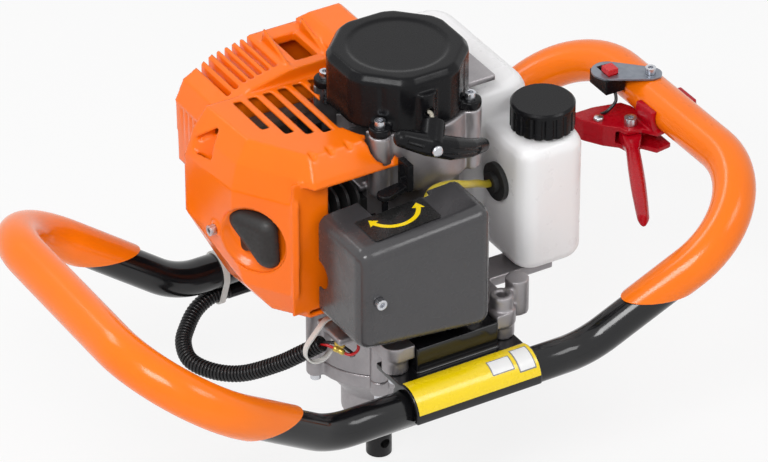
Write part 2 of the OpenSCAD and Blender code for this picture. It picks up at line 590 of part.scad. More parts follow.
// Plate above the dent, so that the wall stays closed there
module dent_floor() {
  hull() for (p = [[-122, 55.5, 58.8], [-98.5, 43.5, 71.4], [-116, 49, 63.6]], k = [0, 1])
    translate([p.x - 0.4 * k, p.y + 2.2 * k, bore_z + p.z + 2.8 * k]) cube(0.1);
}
module cylinder_shroud() {
  color("#f07f1e") difference() {
    union() {
      difference() {
        union() {
          difference() {
            shroud_form(0);
            dent(0);
          }
          guard_form(0);
          hump_form(0);
        }
        difference() {
          shroud_form(shroud_t);
          dent(shroud_t);
        }
        guard_form(shroud_t);
        hump_form(shroud_t);
      }
      translate([-128.5, 20, bore_z]) rotate([0, 90, 0]) cylinder(r = 5.5, h = head_x + 128.5 - rest);
      dent_floor();
      translate([-98, -43, bore_z - 52]) cube([30, shroud_t, 114]);
      for (x = [-40, -8]) translate([x, 60, bore_z + 88]) rotate([90, 0, 90]) linear_extrude(2.4)
        polygon([[0, 0], [46, 0], [42, 14]]);
    }
    // the engine's own space: fan housing, its posts, crankcase, inlet and plug
    translate([cx, 0, bore_z - 80]) cylinder(r = 57, h = 200);
    for (j = [-1, 1]) translate([cx - starter_dx, j * starter_dy, bore_z]) cylinder(r = 10.5, h = 120);
    translate([-94, -70, bore_z - 90]) cube([132, 27, 148]);
    translate([-67, -70, bore_z - 90]) cube([105, 42, 148]);
    translate([-110, -10, bore_z + 4]) rotate([0, -90, 33]) cylinder(r = 27, h = 40);
    translate([-36, -52, bore_z - 90]) cube([90, 104, 84]);
    translate([-97, 52, bore_z - 60]) cube([92, 16, 118]);
    // air slots over the cylinder, over the silencer and in the end wall
    for (i = [0 : 5]) translate([-92 + i * 12.6, crown_slot[i], bore_z + 66])
      cube([6.8, 56 - crown_slot[i], 14]);
    for (i = [0 : 6]) translate([-87 + i * 6.6, 72, bore_z + 50]) cube([3.4, 60, 50]);
    translate([-30, 70, bore_z + 70]) cube([19, 36, 40]);
    for (i = [0 : 6]) translate([-130, 66 + i * 7, bore_z + 12]) cube([25.4, 3, 38]);
    translate([-140, 20, bore_z]) rotate([0, 90, 0]) cylinder(d = 5.3, h = 60);
  }
}
module small_screws() {
  color("#c4c7cc") {
    translate([-128.5 - rest, 20, bore_z]) rotate([0, -90, 0]) screw(5, 24);
    translate([hoop_x, 28, hold_z + gr + 1.9]) screw(5, 12);
    translate([pivot.x, pivot.y, lever_z + 9.6]) screw(pivot_d, 21);
  }
}
module muffler() {
  color("#6d6a68") {
    difference() {
      union() {
        translate([-54, 82, bore_z - 30]) soft_block(72, 60, 84, 14, 6);
        translate([piston_x - 8, 45 + rest, bore_z - 17]) cube([34, 8, 34]);
        translate([-20, 84, bore_z - 8]) rotate([0, 90, 0]) cylinder(r = 7, h = 22);
      }
      translate([-54, 82, bore_z - 28.5]) soft_block(69, 57, 81, 12.5, 6);
      translate([piston_x + 9, 40, bore_z]) rotate([-90, 0, 0]) cylinder(r = 9, h = 20);
      translate([-25, 84, bore_z - 8]) rotate([0, 90, 0]) cylinder(r = 5, h = 40);
    }
  }
}
module intake_insulator() {
  color("#2b2b2d") difference() {
    translate([piston_x - 8, -60, bore_z - 18]) cube([34, 15 - rest, 36]);
    translate([piston_x + 9, -40, bore_z]) rotate([90, 0, 0]) cylinder(r = 9, h = 40);
  }
}
// Carburettor body with the filter's base plate in front of it
module carburettor() {
  color("#b7b4b0") difference() {
    union() {
      translate([piston_x - 10, -84, bore_z - 20]) cube([40, 24 - rest, 44]);
      translate([-74, -88, bore_z - 44]) cube([100, 4.5, 66]);
      translate([piston_x + 30, -72, bore_z + 8]) rotate([0, 90, 0]) cylinder(r = 2.1, h = 10);
      translate([screw_x, -98, screw_z]) rotate([-90, 0, 0]) cylinder(r = 5, h = 11);
    }
    translate([piston_x + 9, -40, bore_z]) rotate([90, 0, 0]) cylinder(r = 10, h = 60);
    translate([choke_at.x, choke_at.y, bore_z + 12]) cylinder(r = 2.5 + run_fit, h = 40);
    translate([butterfly_at.x, butterfly_at.y, bore_z - 40]) cylinder(r = 2.5 + run_fit, h = 28);
    translate([screw_x, -99, screw_z]) rotate([-90, 0, 0]) cylinder(d = 5.3, h = 9);
  }
}
choke_at = [-33, -65];
butterfly_at = [-60, -72];
module air_filter_element() {
  color("#4a4a44") difference() {
    translate([-58, -filter_y + 8, bore_z - 44]) cube([80, filter_y - 8 - 88 - rest, 66]);
    translate([screw_x, -60, screw_z]) rotate([90, 0, 0]) cylinder(r = 7.5, h = 60);
  }
}
// Outline of the cover from the front, its corners rounded; k draws it in
function cover_line(k) = let(r = 9 - 0.5 * k) bent([[-24, bore_z - 58 + k], [32 - k, bore_z - 64 + k],
  [32 - k, bore_z + 39.5 - k], [-80 + k, bore_z + 32.6 - k], [-80 + k, bore_z - 52 + k], [-25,
    bore_z - 57.9 + k]],
  [0, r, r, r, r, 0], 4);
module cover_form(k, f) {
  hull() {
    translate([0, f, 0]) rotate([90, 0, 0]) linear_extrude(filter_y - 10 + f) polygon(cover_line(k));
    rotate([90, 0, 0]) linear_extrude(filter_y - k - 4.5) polygon(cover_line(k + 1.6));
    rotate([90, 0, 0]) linear_extrude(filter_y - k - 1.4) polygon(cover_line(k + 4.6));
    rotate([90, 0, 0]) linear_extrude(filter_y - k) polygon(cover_line(k + 8.5));
  }
}
module air_filter_cover() {
  color("#4a4a4c") difference() {
    intersection() {
      cover_form(0, 0);
      translate([-100, -filter_y - 5, bore_z - 90]) cube([200, filter_depth + 5, 160]);
    }
    cover_form(filter_t, 0);
    translate([-46, -70, bore_z + 20]) cube([48, 60, 40]);
    translate([-90, filter_depth - filter_y - 2, bore_z - 17]) rotate([0, 90, 0]) cylinder(r = 11, h = 40);
    // clear of the fan housing on the right
    translate([-26, -64, bore_z - 90]) cube([80, 60, 160]);
    translate([screw_x, -filter_y - 10, screw_z]) rotate([-90, 0, 0]) cylinder(d = 5.6, h = 60);
  }
}
module air_filter_screw() {
  color("#c4c7cc") translate([screw_x, -filter_y - rest, screw_z]) rotate([90, 0, 0]) screw(5, 12 + 4);
  color("#c4c7cc") translate([screw_x, -filter_y + filter_t + 0.4, screw_z]) rotate([90, 0, 0])
    ring(3.9, 2.6, -8.4, -rest);
}
module tank_form(k) {
  translate([tank_x + 28.5, -27, bell_z + rest + k]) soft_block(57 - 2 * k, 70 - 2 * k, 108 - 2 * k,
    14 - k, 8);
  translate([tank_x + 14, 61.5, bell_z + rest + k]) soft_block(60 - 2 * k, 135 - 2 * k, 131 - 2 * k,
    18 - k, 9);
}
neck = [tank_x + 33, -35];
neck_z = bell_z + 126;
module fuel_tank() {
  color("#e9e9ec") difference() {
    union() {
      tank_form(0);
      translate([neck.x, neck.y, bell_z + 104]) cylinder(r = 18.5, h = neck_z - bell_z - 104);
    }
    tank_form(tank_t);
    translate([neck.x, neck.y, bell_z + 90]) cylinder(r = 15.5, h = 80);
    translate([tank_x - 5, hose_y, 232]) rotate([0, 90, 0]) cylinder(r = 11 + rest, h = 12);
  }
}
module fuel_cap() {
  color("#1c1c1e") translate([neck.x, neck.y, neck_z - cap_h + 6]) difference() {
    union() {
      cylinder(d = cap_d, h = cap_h - 1.5);
      translate([0, 0, cap_h - 1.5]) cylinder(d1 = cap_d, d2 = cap_d - 3, h = 1.5);
    }
    translate([0, 0, -1]) cylinder(r = 19 + pass, h = cap_h - 3);
    for (i = [0 : 17]) rotate([0, 0, i * 20]) translate([cap_d / 2 + 0.8, 0, -1]) cylinder(r = 1.9,
      h = cap_h - 3);
  }
}
module cap_seal() { color("#333333") translate([neck.x, neck.y, 0]) ring(19, 15, neck_z + 0.3,
  neck_z + 1.9); }
module tank_grommet() {
  color("#19191b") difference() {
    union() {
      translate([tank_x - 4, hose_y, 232]) rotate([0, 90, 0]) cylinder(r = 15, h = 4 - rest);
      translate([tank_x - 4, hose_y, 232]) rotate([0, 90, 0]) cylinder(r = 11, h = 10);
      translate([tank_x - 8, hose_y, 232]) rotate([0, 90, 0]) cylinder(r = 8, h = 5);
    }
    translate([tank_x - 20, hose_y, 232]) rotate([0, 90, 0]) cylinder(r = 3.4, h = 40);
  }
}
module fuel_hose() {
  q = spline(fuel_route, 3);
  color("#d8b21c") tube_sweep(q, [for (i = q) 2.95], q, 2.45 + rest, 10);
}
// Clamp round the right hand hold with two cheeks for the lever
module throttle_bracket() {
  h = lever_t / 2 + pass;
  color("#b3162a") difference() {
    union() {
      translate([hoop_x, clamp_y - 11, hold_z]) rotate([-90, 0, 0]) cylinder(r = gr + 4.6, h = 22);
      translate([0, 0, lever_z - h - 4]) linear_extrude(2 * h + 8) polygon([[hoop_x - 2, clamp_y - 11],
        [hoop_x - 2, clamp_y + 11], [hoop_x - 16, body_y + 22], [hoop_x - 38, body_y + 27],
          [hoop_x - 59, body_y + 27],
        [hoop_x - 55, body_y + 14], [hoop_x - 46, body_y], [pivot.x - 10, pivot.y], [pivot.x - 8,
          pivot.y - 8],
        [pivot.x + 4, pivot.y - 10], [hoop_x - 16, clamp_y - 13]]);
    }
    translate([hoop_x, clamp_y - 20, hold_z]) rotate([-90, 0, 0]) cylinder(r = gr + rest, h = 80);
    translate([hoop_x - 40, clamp_y - 20, hold_z + 6]) cube([80, 40, 40]);
    translate([pivot.x, pivot.y, lever_z - h]) cylinder(r = 12, h = 2 * h);
    translate([pivot.x - 30, pivot.y - 40, lever_z - h]) cube([55, 41, 2 * h]);
    translate([pivot.x, pivot.y, lever_z - 30]) cylinder(r = pivot_d / 2 + rest, h = 60);
    rod([hoop_x - 40, body_y + 12, lever_z], [hoop_x - 56, body_y + 38, lever_z], 3);
  }
}
module throttle_lever() {
  color("#c01a30") difference() {
    union() {
      translate([pivot.x, pivot.y, lever_z - lever_t / 2]) cylinder(r = 9, h = lever_t);
      translate([0, 0, lever_z - lever_t / 2]) linear_extrude(lever_t)
        polygon(belt([pivot.x, pivot.y - 1], 7.5, lever_tip, 6));
    }
    translate([pivot.x, pivot.y, lever_z - 30]) cylinder(r = pivot_d / 2 + run_fit, h = 60);
  }
}
module switch_plate() {
  color("#c9cbd0") difference() {
    translate([0, 0, hold_z + gr + rest]) linear_extrude(1.6) polygon(belt([hoop_x, 28], 9,
      [hoop_x - 26, 48], 13));
    translate([hoop_x, 28, hold_z]) cylinder(d = 5.4, h = 40);
    translate([hoop_x - 31, 39, hold_z]) cube([9, 18, 40]);
  }
}
module switch_body() {
  color("#1b1b1d") difference() {
    translate([hoop_x - 35, 36, hold_z + 4]) cube([17.6, 24, gr - 4 - rest]);
    translate([hoop_x - 30.5, 39.5, hold_z + gr - 7]) cube([8, 17, 20]);
  }
}
module stop_button() {
  color("#c8141e") {
    translate([hoop_x - 30.1, 40, hold_z + gr - 6.6]) cube([7.2, 9, 9.6]);
    translate([hoop_x - 31, 39.6, hold_z + gr + 2.2]) cube([9, 9.8, 4.5]);
  }
}
module throttle_sleeve() {
  q = bent([[hoop_x - 53, body_y + 28.2, lever_z], [hoop_x - 60, 104, lever_z - 4], [118, 99, rail_z - 20],
    [88, rail_y, sleeve_z], [-66, rail_y, sleeve_z]], [0, 28, 26, 24, 0], 5);
  color("#1b1b1d") tube_sweep(q, [for (i = q) conduit_d / 2], q, conduit_d / 2 - 1.6, 12);
}
module control_conduit() {
  q = spline(conduit_route, 26);
  w = spline(conduit_route, 4);
  color("#1b1b1d") tube_sweep(q, [for (i = [0 : len(q) - 1]) conduit_d / 2 - (i % 2) * 1.3], w,
    conduit_d / 2 - 2.2, 8);
}
// Strap round the rear rail and the sleeve, and strap round the gearbox lug and the conduit's end
module cable_ties() {
  color("#d9d9d6") {
    translate([-77, 0, 0]) rotate([90, 0, 90]) linear_extrude(4.6) difference() {
      polygon(belt([rail_y, rail_z], tr + 1.6, [rail_y, sleeve_z], conduit_d / 2 + 1.9));
      polygon(belt([rail_y, rail_z], tr + rest, [rail_y, sleeve_z], conduit_d / 2 + pass));
    }
    translate([0, -31.5, 0]) rotate([90, 0, 0]) linear_extrude(4.6) difference() {
      polygon(belt([-72, 139.5], 12.2, [bracket_x - 71, plate_z + 3], 8));
      polygon(belt([-72, 139.5], 10.8, [bracket_x - 71, plate_z + 3], 6.6));
    }
  }
}
module flywheel() {
  color("#a8aab0") translate([cx, 0, fan_z]) difference() {
    union() {
      translate([0, 0, 6]) cylinder(r = flywheel_r, h = 6);
      translate([0, 0, 6]) cylinder(r = 13, h = 19);
      for (i = [0 : 11]) rotate([0, 0, i * 30]) translate([26, -1, 11]) cube([flywheel_r - 27, 2, 18]);
      translate([0, 0, 22]) cylinder(r = 22, h = 3);
      ring(22, 17, 22, 36);
    }
    translate([0, 0, -1]) cylinder(r = 7 + run_fit, h = 60);
  }
}
module clutch_hub() {
  color("#85888e") translate([cx, 0, bell_z + 12]) difference() {
    union() {
      cylinder(r = 15, h = 14);
      translate([-4, -33, 0]) cube([8, 66, 14]);
    }
    translate([0, 0, -1]) cylinder(r = 8.5 + run_fit, h = 40);
  }
}
module clutch_shoe(s) {
  color("#6e7076") translate([cx, 0, bell_z + 12]) difference() {
    ring(34.4, 16, 0, 14);
    translate([s > 0 ? -80 + 5 : -5, -50, -1]) cube([80, 100, 30]);
  }
}
module clutch_shoe_a() { clutch_shoe(1); }
module clutch_shoe_b() { clutch_shoe(-1); }
// Drum, its shaft and the first pinion in one piece
module clutch_drum() {
  color("#77797f") translate([cx, 0, 0]) {
    difference() {
      translate([0, 0, bell_z + 6]) cylinder(r = 39, h = 22);
      translate([0, 0, bell_z + 9.5]) cylinder(r = 36, h = 40);
    }
    translate([0, 0, gear_1_z + 11]) cylinder(r = 6, h = bell_z + 7 - gear_1_z - 11);
    translate([0, 0, gear_1_z - 0.5]) gear(pinion_teeth, module_1, 12, atan2(idler_y, idler_x - cx));
  }
}
module idler_gear() {
  e = atan2(idler_y, idler_x - cx);
  d = atan2(idler_y, idler_x);
  color("#8b8d93") translate([idler_x, idler_y, 0]) {
    translate([0, 0, gear_1_z]) gear(wheel_teeth, module_1, 11, e + 180 + 180 / wheel_teeth);
    translate([0, 0, gear_2_z - 0.5]) gear(pinion_teeth, module_2, gear_1_z - gear_2_z + 1, d + 180);
    translate([0, 0, split_z - 7.5]) cylinder(r = 5, h = chamber_z + 9.5 - split_z + 7.5);
  }
}
module output_gear() {
  d = atan2(idler_y, idler_x);
  color("#8b8d93") difference() {
    translate([0, 0, gear_2_z]) gear(wheel_teeth, module_2, 14, d + 180 / wheel_teeth);
    translate([0, 0, gear_2_z - 1]) cylinder(r = 12.5 + run_fit, h = 40);
  }
}
module output_shaft() {
  color("#2a2a2d") difference() {
    union() {
      cylinder(d = shaft_d, h = shaft_out + 1);
      translate([0, 0, shaft_out]) cylinder(r = 12.5, h = gear_2_z + 14.5 - shaft_out);
    }
    translate([0, 30, 12]) rotate([90, 0, 0]) cylinder(d = pin_hole_d, h = 60);
  }
}
module starter_pulley() {
  color("#2c2c2f") translate([cx, 0, rope_z - 5]) difference() {
    union() {
      cylinder(r = 30, h = 2);
      cylinder(r = 22, h = 10);
      translate([0, 0, 8]) cylinder(r = 30, h = 2);
    }
    translate([0, 0, -1]) cylinder(r = 5 + run_fit, h = 40);
  }
}
// Crescent cross bar, turned a little out of level, with a neck that rises to the cover's eye
function bar_at(t) = [85 * sin(t), 85 - 85 * cos(t), 0];
module pull_handle() {
  color("#1a1a1c") difference() {
    union() {
      translate(bar_at_rest) rotate([0, 24, 0]) translate([11, 0, 0]) for (t = [-23, -9, 5, 19]) hull() {
        translate(bar_at(t)) sphere(r = 9.6 - abs(t) / 8, $fn = 18);
        translate(bar_at(t + 14)) sphere(r = 9.6 - abs(t + 14) / 8, $fn = 18);
      }
      rod(bar_at_rest, neck_end, 9);
    }
    rod(bar_at_rest * 0.6 + neck_end * 0.4, neck_end * 1.5 - bar_at_rest * 0.5, 2);
  }
}
module starter_rope() {
  q = concat(bent([[cx - 25.8, -3, rope_z], [cx - 6, -46, rope_z], [cx - 6, -58.5, rope_z]], [0, 8, 0], 4),
    [neck_end, bar_at_rest * 0.5 + neck_end * 0.5]);
  n = len(q);
  color("#d6d2c4") polyhedron([for (i = [0 : n - 1]) each ring_at(q, i, 1.5, 8)], concat(skin(n, 8, 0,
    false),
    [[for (k = [0 : 7]) k], [for (k = [7 : -1 : 0]) (n - 1) * 8 + k]]));
}
module choke_lever() {
  tip = choke_at + [21, 5];
  color("#1c1c1e") difference() {
    union() {
      translate([choke_at.x, choke_at.y, bore_z + 13]) cylinder(r = 2.5, h = 34);
      translate([0, 0, bore_z + 43]) linear_extrude(4) polygon(belt(choke_at, 6, tip, 4));
      translate([tip.x - 3, tip.y - 7, bore_z + 43]) cube([5, 14, 22]);
    }
    translate([tip.x - 5, tip.y - 4, bore_z + 49]) cube([10, 8, 12]);
  }
}
module throttle_arm() {
  color("#c9b071") {
    translate([butterfly_at.x, butterfly_at.y, bore_z - 28]) cylinder(r = 2.5, h = 15.5);
    translate([0, 0, bore_z - 28]) linear_extrude(3) polygon(belt(butterfly_at, 5, butterfly_at + [17,
      4], 3));
  }
}

left_hoop();
right_hoop();
left_grip();
right_grip();
front_bracket();
rear_bracket();
bracket_screws();
gearbox_housing();
gearbox_cover();
gearbox_bearings();
output_seal();
clutch_housing();
case_screws();
crankcase_lower();
crankcase_upper();
connecting_rod();
piston();
cylinder_barrel();
spark_plug();
plug_boot();
ignition_coil();
fan_housing();
starter_cover();
cylinder_shroud();
small_screws();
muffler();
intake_insulator();
carburettor();
air_filter_element();
air_filter_cover();
air_filter_screw();
fuel_tank();
tank_grommet();
fuel_hose();
throttle_bracket();
switch_plate();
switch_body();
throttle_sleeve();
control_conduit();
cable_ties();
crankshaft();
flywheel();
clutch_hub();
clutch_shoe_a();
clutch_shoe_b();
clutch_drum();
idler_gear();
output_gear();
output_shaft();
starter_pulley();
pull_handle();
starter_rope();
fuel_cap();
cap_seal();
choke_lever();
throttle_arm();
throttle_lever();
stop_button();
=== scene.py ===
import bpy
import bmesh
import json
import math
from mathutils import Matrix, Vector

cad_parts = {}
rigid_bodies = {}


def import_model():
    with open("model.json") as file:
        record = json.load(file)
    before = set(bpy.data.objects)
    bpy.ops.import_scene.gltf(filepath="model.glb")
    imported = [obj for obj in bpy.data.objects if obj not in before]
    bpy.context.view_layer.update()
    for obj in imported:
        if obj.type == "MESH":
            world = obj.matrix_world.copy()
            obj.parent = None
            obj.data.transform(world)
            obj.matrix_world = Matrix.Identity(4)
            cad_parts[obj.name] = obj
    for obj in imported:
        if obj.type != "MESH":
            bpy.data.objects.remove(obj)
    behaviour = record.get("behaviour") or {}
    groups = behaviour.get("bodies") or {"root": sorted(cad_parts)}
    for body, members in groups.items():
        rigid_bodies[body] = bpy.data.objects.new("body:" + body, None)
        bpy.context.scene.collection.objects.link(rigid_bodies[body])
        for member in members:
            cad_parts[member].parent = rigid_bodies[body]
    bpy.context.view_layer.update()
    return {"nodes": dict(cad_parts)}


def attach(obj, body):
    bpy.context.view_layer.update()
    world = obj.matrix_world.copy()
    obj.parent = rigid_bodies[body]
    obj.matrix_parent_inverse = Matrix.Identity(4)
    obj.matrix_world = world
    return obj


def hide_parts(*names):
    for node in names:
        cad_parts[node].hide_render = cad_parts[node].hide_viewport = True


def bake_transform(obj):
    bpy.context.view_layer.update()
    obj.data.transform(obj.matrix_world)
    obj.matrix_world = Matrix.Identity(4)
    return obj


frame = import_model()
scene = bpy.context.scene
scene.view_settings.view_transform = "Standard"


# Camera.
# A long lens from the front left, above the handles, as for a catalogue picture of a hand-held tool.
# Its place and its directions are fitted to the frame's straight tubes.
lens = bpy.data.cameras.new("camera")
lens.lens = 244.4
lens.sensor_width = 36
lens.clip_end = 50
camera_at = (-1.6595, -2.8140, 2.3304)
camera = bpy.data.objects.new("camera", lens)
across = Vector((0.8607, -0.5090, 0))
ahead = Vector((0.4264, 0.7211, -0.5461))
above = across.cross(ahead)
camera.matrix_world = Matrix((
    (across.x, above.x, -ahead.x, camera_at[0]),
    (across.y, above.y, -ahead.y, camera_at[1]),
    (across.z, above.z, -ahead.z, camera_at[2]),
    (0, 0, 0, 1),
))
scene.collection.objects.link(camera)
scene.camera = camera


# Floor and studio light.
# White sweep under the tool, with a wide lamp over the left shoulder, a fill at the right and a rim lamp
# behind. Camera, mirror and clear rays see plain white, and other rays a dimmer room.
class Level:
    """A number in a node tree that takes plain arithmetic"""

    def __init__(self, tree, socket):
        self.tree = tree
        self.socket = socket

    def do(self, operation, a, b):
        n = self.tree.nodes.new("ShaderNodeMath")
        n.operation = operation
        for value, end in zip((a, b), n.inputs):
            if isinstance(value, Level):
                self.tree.links.new(value.socket, end)
            else:
                end.default_value = value
        return Level(self.tree, n.outputs[0])

    def __add__(self, b):
        return self.do("ADD", self, b)

    def __radd__(self, b):
        return self.do("ADD", b, self)

    def __mul__(self, b):
        return self.do("MULTIPLY", self, b)

    def __rmul__(self, b):
        return self.do("MULTIPLY", b, self)


class Finish:
    """A material: one shader, its constant values, and the nodes that vary over the surface"""

    def __init__(self, name, colour, rough, metal=0.0, **constants):
        self.material = bpy.data.materials.new(name)
        self.material.use_nodes = True
        self.tree = self.material.node_tree
        self.shader = self.tree.nodes["Principled BSDF"]
        self.base = (*colour, 1)
        self.shader.inputs["Base Color"].default_value = self.base
        self.shader.inputs["Roughness"].default_value = rough
        self.shader.inputs["Metallic"].default_value = metal
        for k, v in constants.items():
            self.shader.inputs[k.replace("_", " ").title().replace("Ior", "IOR")].default_value = v
        self.place = self.node("ShaderNodeTexCoord", out="Object")
        self.edge = None

    def node(self, kind, sockets=None, out=0, **settings):
        n = self.tree.nodes.new(kind)
        for k, v in settings.items():
            setattr(n, k, v)
        for k, v in (sockets or {}).items():
            if isinstance(v, Level):
                self.tree.links.new(v.socket, n.inputs[k])
            else:
                n.inputs[k].default_value = v
        return Level(self.tree, n.outputs[out])

    def grain(self, scale, detail, rough=0.5, stretch=(1, 1, 1)):
        at = self.place
        if stretch != (1, 1, 1):
            at = self.node("ShaderNodeMapping", {"Vector": at, "Scale": stretch})
        return self.node("ShaderNodeTexNoise", {
            "Vector": at, "Scale": scale, "Detail": detail, "Roughness": rough})

    def cells(self, scale):
        return self.node("ShaderNodeTexVoronoi", {"Vector": self.place, "Scale": scale}, out="Distance")

    def between(self, value, low, high):
        """A mask that rises from 0 to 1 between two levels"""
        return self.node("ShaderNodeMapRange", {"Value": value, "From Min": low, "From Max": high})

    def patches(self, scale, detail, low=0.3, high=0.7):
        """A mask of soft patches"""
        return self.between(self.grain(scale, detail), low, high)

    def paint(self, mask, colour):
        """Lays a second colour over the base where the mask is high"""
        old = self.shader.inputs["Base Color"]
        under = Level(self.tree, old.links[0].from_socket) if old.links else self.base
        factor, first, second, result = 0, 6, 7, 2
        mixed = self.node("ShaderNodeMix", {first: under, second: (*colour, 1), factor: mask}, out=result,
                          data_type="RGBA")
        self.tree.links.new(mixed.socket, old)

    def gloss(self, value):
        """Lets a value set the roughness"""
        self.tree.links.new(value.socket, self.shader.inputs["Roughness"])

    def rounded(self, radius):
        """Softens the edges in the light alone"""
        self.edge = self.node("ShaderNodeBevel", {"Radius": radius}, samples=6)
        self.tree.links.new(self.edge.socket, self.shader.inputs["Normal"])

    def relief(self, height, depth, strength):
        """Fine bumps of the skin, over the softened edges where there are any"""
        ends = {"Height": height, "Distance": depth, "Strength": strength}
        if self.edge:
            ends["Normal"] = self.edge
        self.edge = self.node("ShaderNodeBump", ends)
        self.tree.links.new(self.edge.socket, self.shader.inputs["Normal"])

    def on(self, *pieces):
        for o in pieces:
            if isinstance(o, str):
                o = frame["nodes"][o]
            o.data.materials.clear()
            o.data.materials.append(self.material)


floor_half, floor_z = 8, -0.002
floor_signs = ((-1, -1), (1, -1), (1, 1), (-1, 1))
floor_corners = [(x * floor_half, y * floor_half, floor_z) for x, y in floor_signs]
ground = bpy.data.meshes.new("floor")
ground.from_pydata(floor_corners, [], [(0, 1, 2, 3)])
floor = bpy.data.objects.new("floor", ground)
scene.collection.objects.link(floor)
sweep = Finish("floor_white", (0.86, 0.86, 0.86), rough=0.7)
white = (sweep.node("ShaderNodeLightPath", out="Is Camera Ray")
         + sweep.node("ShaderNodeLightPath", out="Is Glossy Ray")
         + sweep.node("ShaderNodeLightPath", out="Is Transmission Ray"))
glow = sweep.node("ShaderNodeEmission", {"Color": (1, 1, 1, 1), "Strength": 1.0})
floor_glow = 0.82
both = sweep.node("ShaderNodeMixShader", {
    0: white * floor_glow, 1: Level(sweep.tree, sweep.shader.outputs[0]), 2: glow})
sweep.tree.links.new(both.socket, sweep.tree.nodes["Material Output"].inputs["Surface"])
sweep.on(floor)

world = bpy.data.worlds.new("studio")
scene.world = world
world.use_nodes = True
air = world.node_tree
back = air.nodes["Background"]
path = air.nodes.new("ShaderNodeLightPath")
camera_ray, glossy_ray, clear_ray = (Level(air, path.outputs["Is %s Ray" % kind])
                                     for kind in ("Camera", "Glossy", "Transmission"))
fill_light = 0.4
strength = (camera_ray + glossy_ray + clear_ray) * (1 - fill_light) + fill_light
air.links.new(strength.socket, back.inputs["Strength"])
back.inputs["Color"].default_value = (1, 1, 1, 1)


def lamp(name, at, aim, size, watts):
    d = bpy.data.lights.new(name, "AREA")
    d.shape = "RECTANGLE"
    d.size, d.size_y = size
    d.energy = watts
    o = bpy.data.objects.new(name, d)
    o.location = at
    o.rotation_euler = (Vector(aim) - Vector(at)).to_track_quat("-Z", "Y").to_euler()
    scene.collection.objects.link(o)


engine_middle = (0, 0, 0.2)
lamp("key", (-1.3, -1.1, 1.9), engine_middle, size=(1.1, 0.8), watts=34)
lamp("fill", (1.0, -1.25, 1.9), engine_middle, size=(0.9, 0.6), watts=9)
lamp("rim", (-0.9, 1.5, 2.4), engine_middle, size=(1.2, 0.6), watts=14)


# Tube frame.
# Two hoops of 28 mm steel tube with their ends under the saddles, powder coated gloss black. Each hand
# hold is dipped in soft orange vinyl to a level line.
def sleeve_mesh(name, line, radius, sides):
    """A round tube along a line; radius is one number or one for each point"""
    made = bmesh.new()
    loops = []
    normal = None
    for i, p in enumerate(line):
        t = (line[min(i + 1, len(line) - 1)] - line[max(i - 1, 0)]).normalized()
        if normal is None:
            normal = t.orthogonal().normalized()
        normal = (normal - t * normal.dot(t)).normalized()
        side = t.cross(normal)
        r = radius[i] if isinstance(radius, list) else radius
        loops.append([made.verts.new(p + r * (normal * math.cos(a) + side * math.sin(a)))
                      for a in (2 * math.pi * k / sides for k in range(sides))])
    for a, b in zip(loops, loops[1:]):
        for k in range(sides):
            made.faces.new((a[k], a[(k + 1) % sides], b[(k + 1) % sides], b[k]))
    made.faces.new(list(reversed(loops[0])))
    made.faces.new(loops[-1])
    bmesh.ops.recalc_face_normals(made, faces=made.faces)
    mesh = bpy.data.meshes.new(name)
    made.to_mesh(mesh)
    made.free()
    mesh.shade_smooth()
    return mesh


def piece_of(name, mesh, body="frame"):
    o = bpy.data.objects.new(name, mesh)
    scene.collection.objects.link(o)
    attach(o, body)
    return o


def linear(r, g, b):
    """A colour as seen on a screen, made linear for the shader"""
    return tuple((c / 255 / 12.92) if c <= 10 else ((c / 255 + 0.055) / 1.055) ** 2.4 for c in (r, g, b))


def bent_line(corners, bends, steps):
    """A run of straight tube with bends of given radius at its corners, in metres"""
    p = [Vector(c) for c in corners]
    line = [p[0]]
    for i in range(1, len(p) - 1):
        u = (p[i] - p[i - 1]).normalized()
        v = (p[i + 1] - p[i]).normalized()
        turn = u.angle(v)
        n = (v - u.dot(v) * u).normalized()
        s = p[i] - u * bends[i] * math.tan(turn / 2)
        for j in range(steps + 1):
            a = turn * j / steps
            line.append(s + n * bends[i] * (1 - math.cos(a)) + u * bends[i] * math.sin(a))
    return [v / 1000 for v in line + [p[-1]]]


tube_black = Finish("tube_black", (0.005, 0.005, 0.006), rough=0.16, Specular_Ior_Level=0.3,
                    Coat_Weight=0.3, Coat_Roughness=0.06)
tube_black.gloss(tube_black.patches(60, 3) * 0.12 + 0.12)
tube_black.relief(tube_black.grain(420, 2), depth=0.0001, strength=0.04)
vinyl_orange = Finish("vinyl_orange", linear(252, 122, 10), rough=0.34, Specular_Ior_Level=0.3,
                      Coat_Weight=0.12, Coat_Roughness=0.2)
vinyl_orange.paint(vinyl_orange.patches(28, 3, 0.35, 0.75) * 0.25, linear(246, 106, 8))
vinyl_orange.gloss(vinyl_orange.patches(70, 4) * 0.08 + 0.16)
vinyl_orange.relief(vinyl_orange.grain(160, 2), depth=0.0003, strength=0.05)
rail_y, rail_z, rail_x, joint_x = 116, 125, 111, 8
hold_x, hold_y, hold_z = 259, 148, 226
rail_bend, hold_bend = 60, 70
tube_radius = 0.014
vinyl_radius = 0.0165
dip_z = 0.163
rim_round = 0.0011
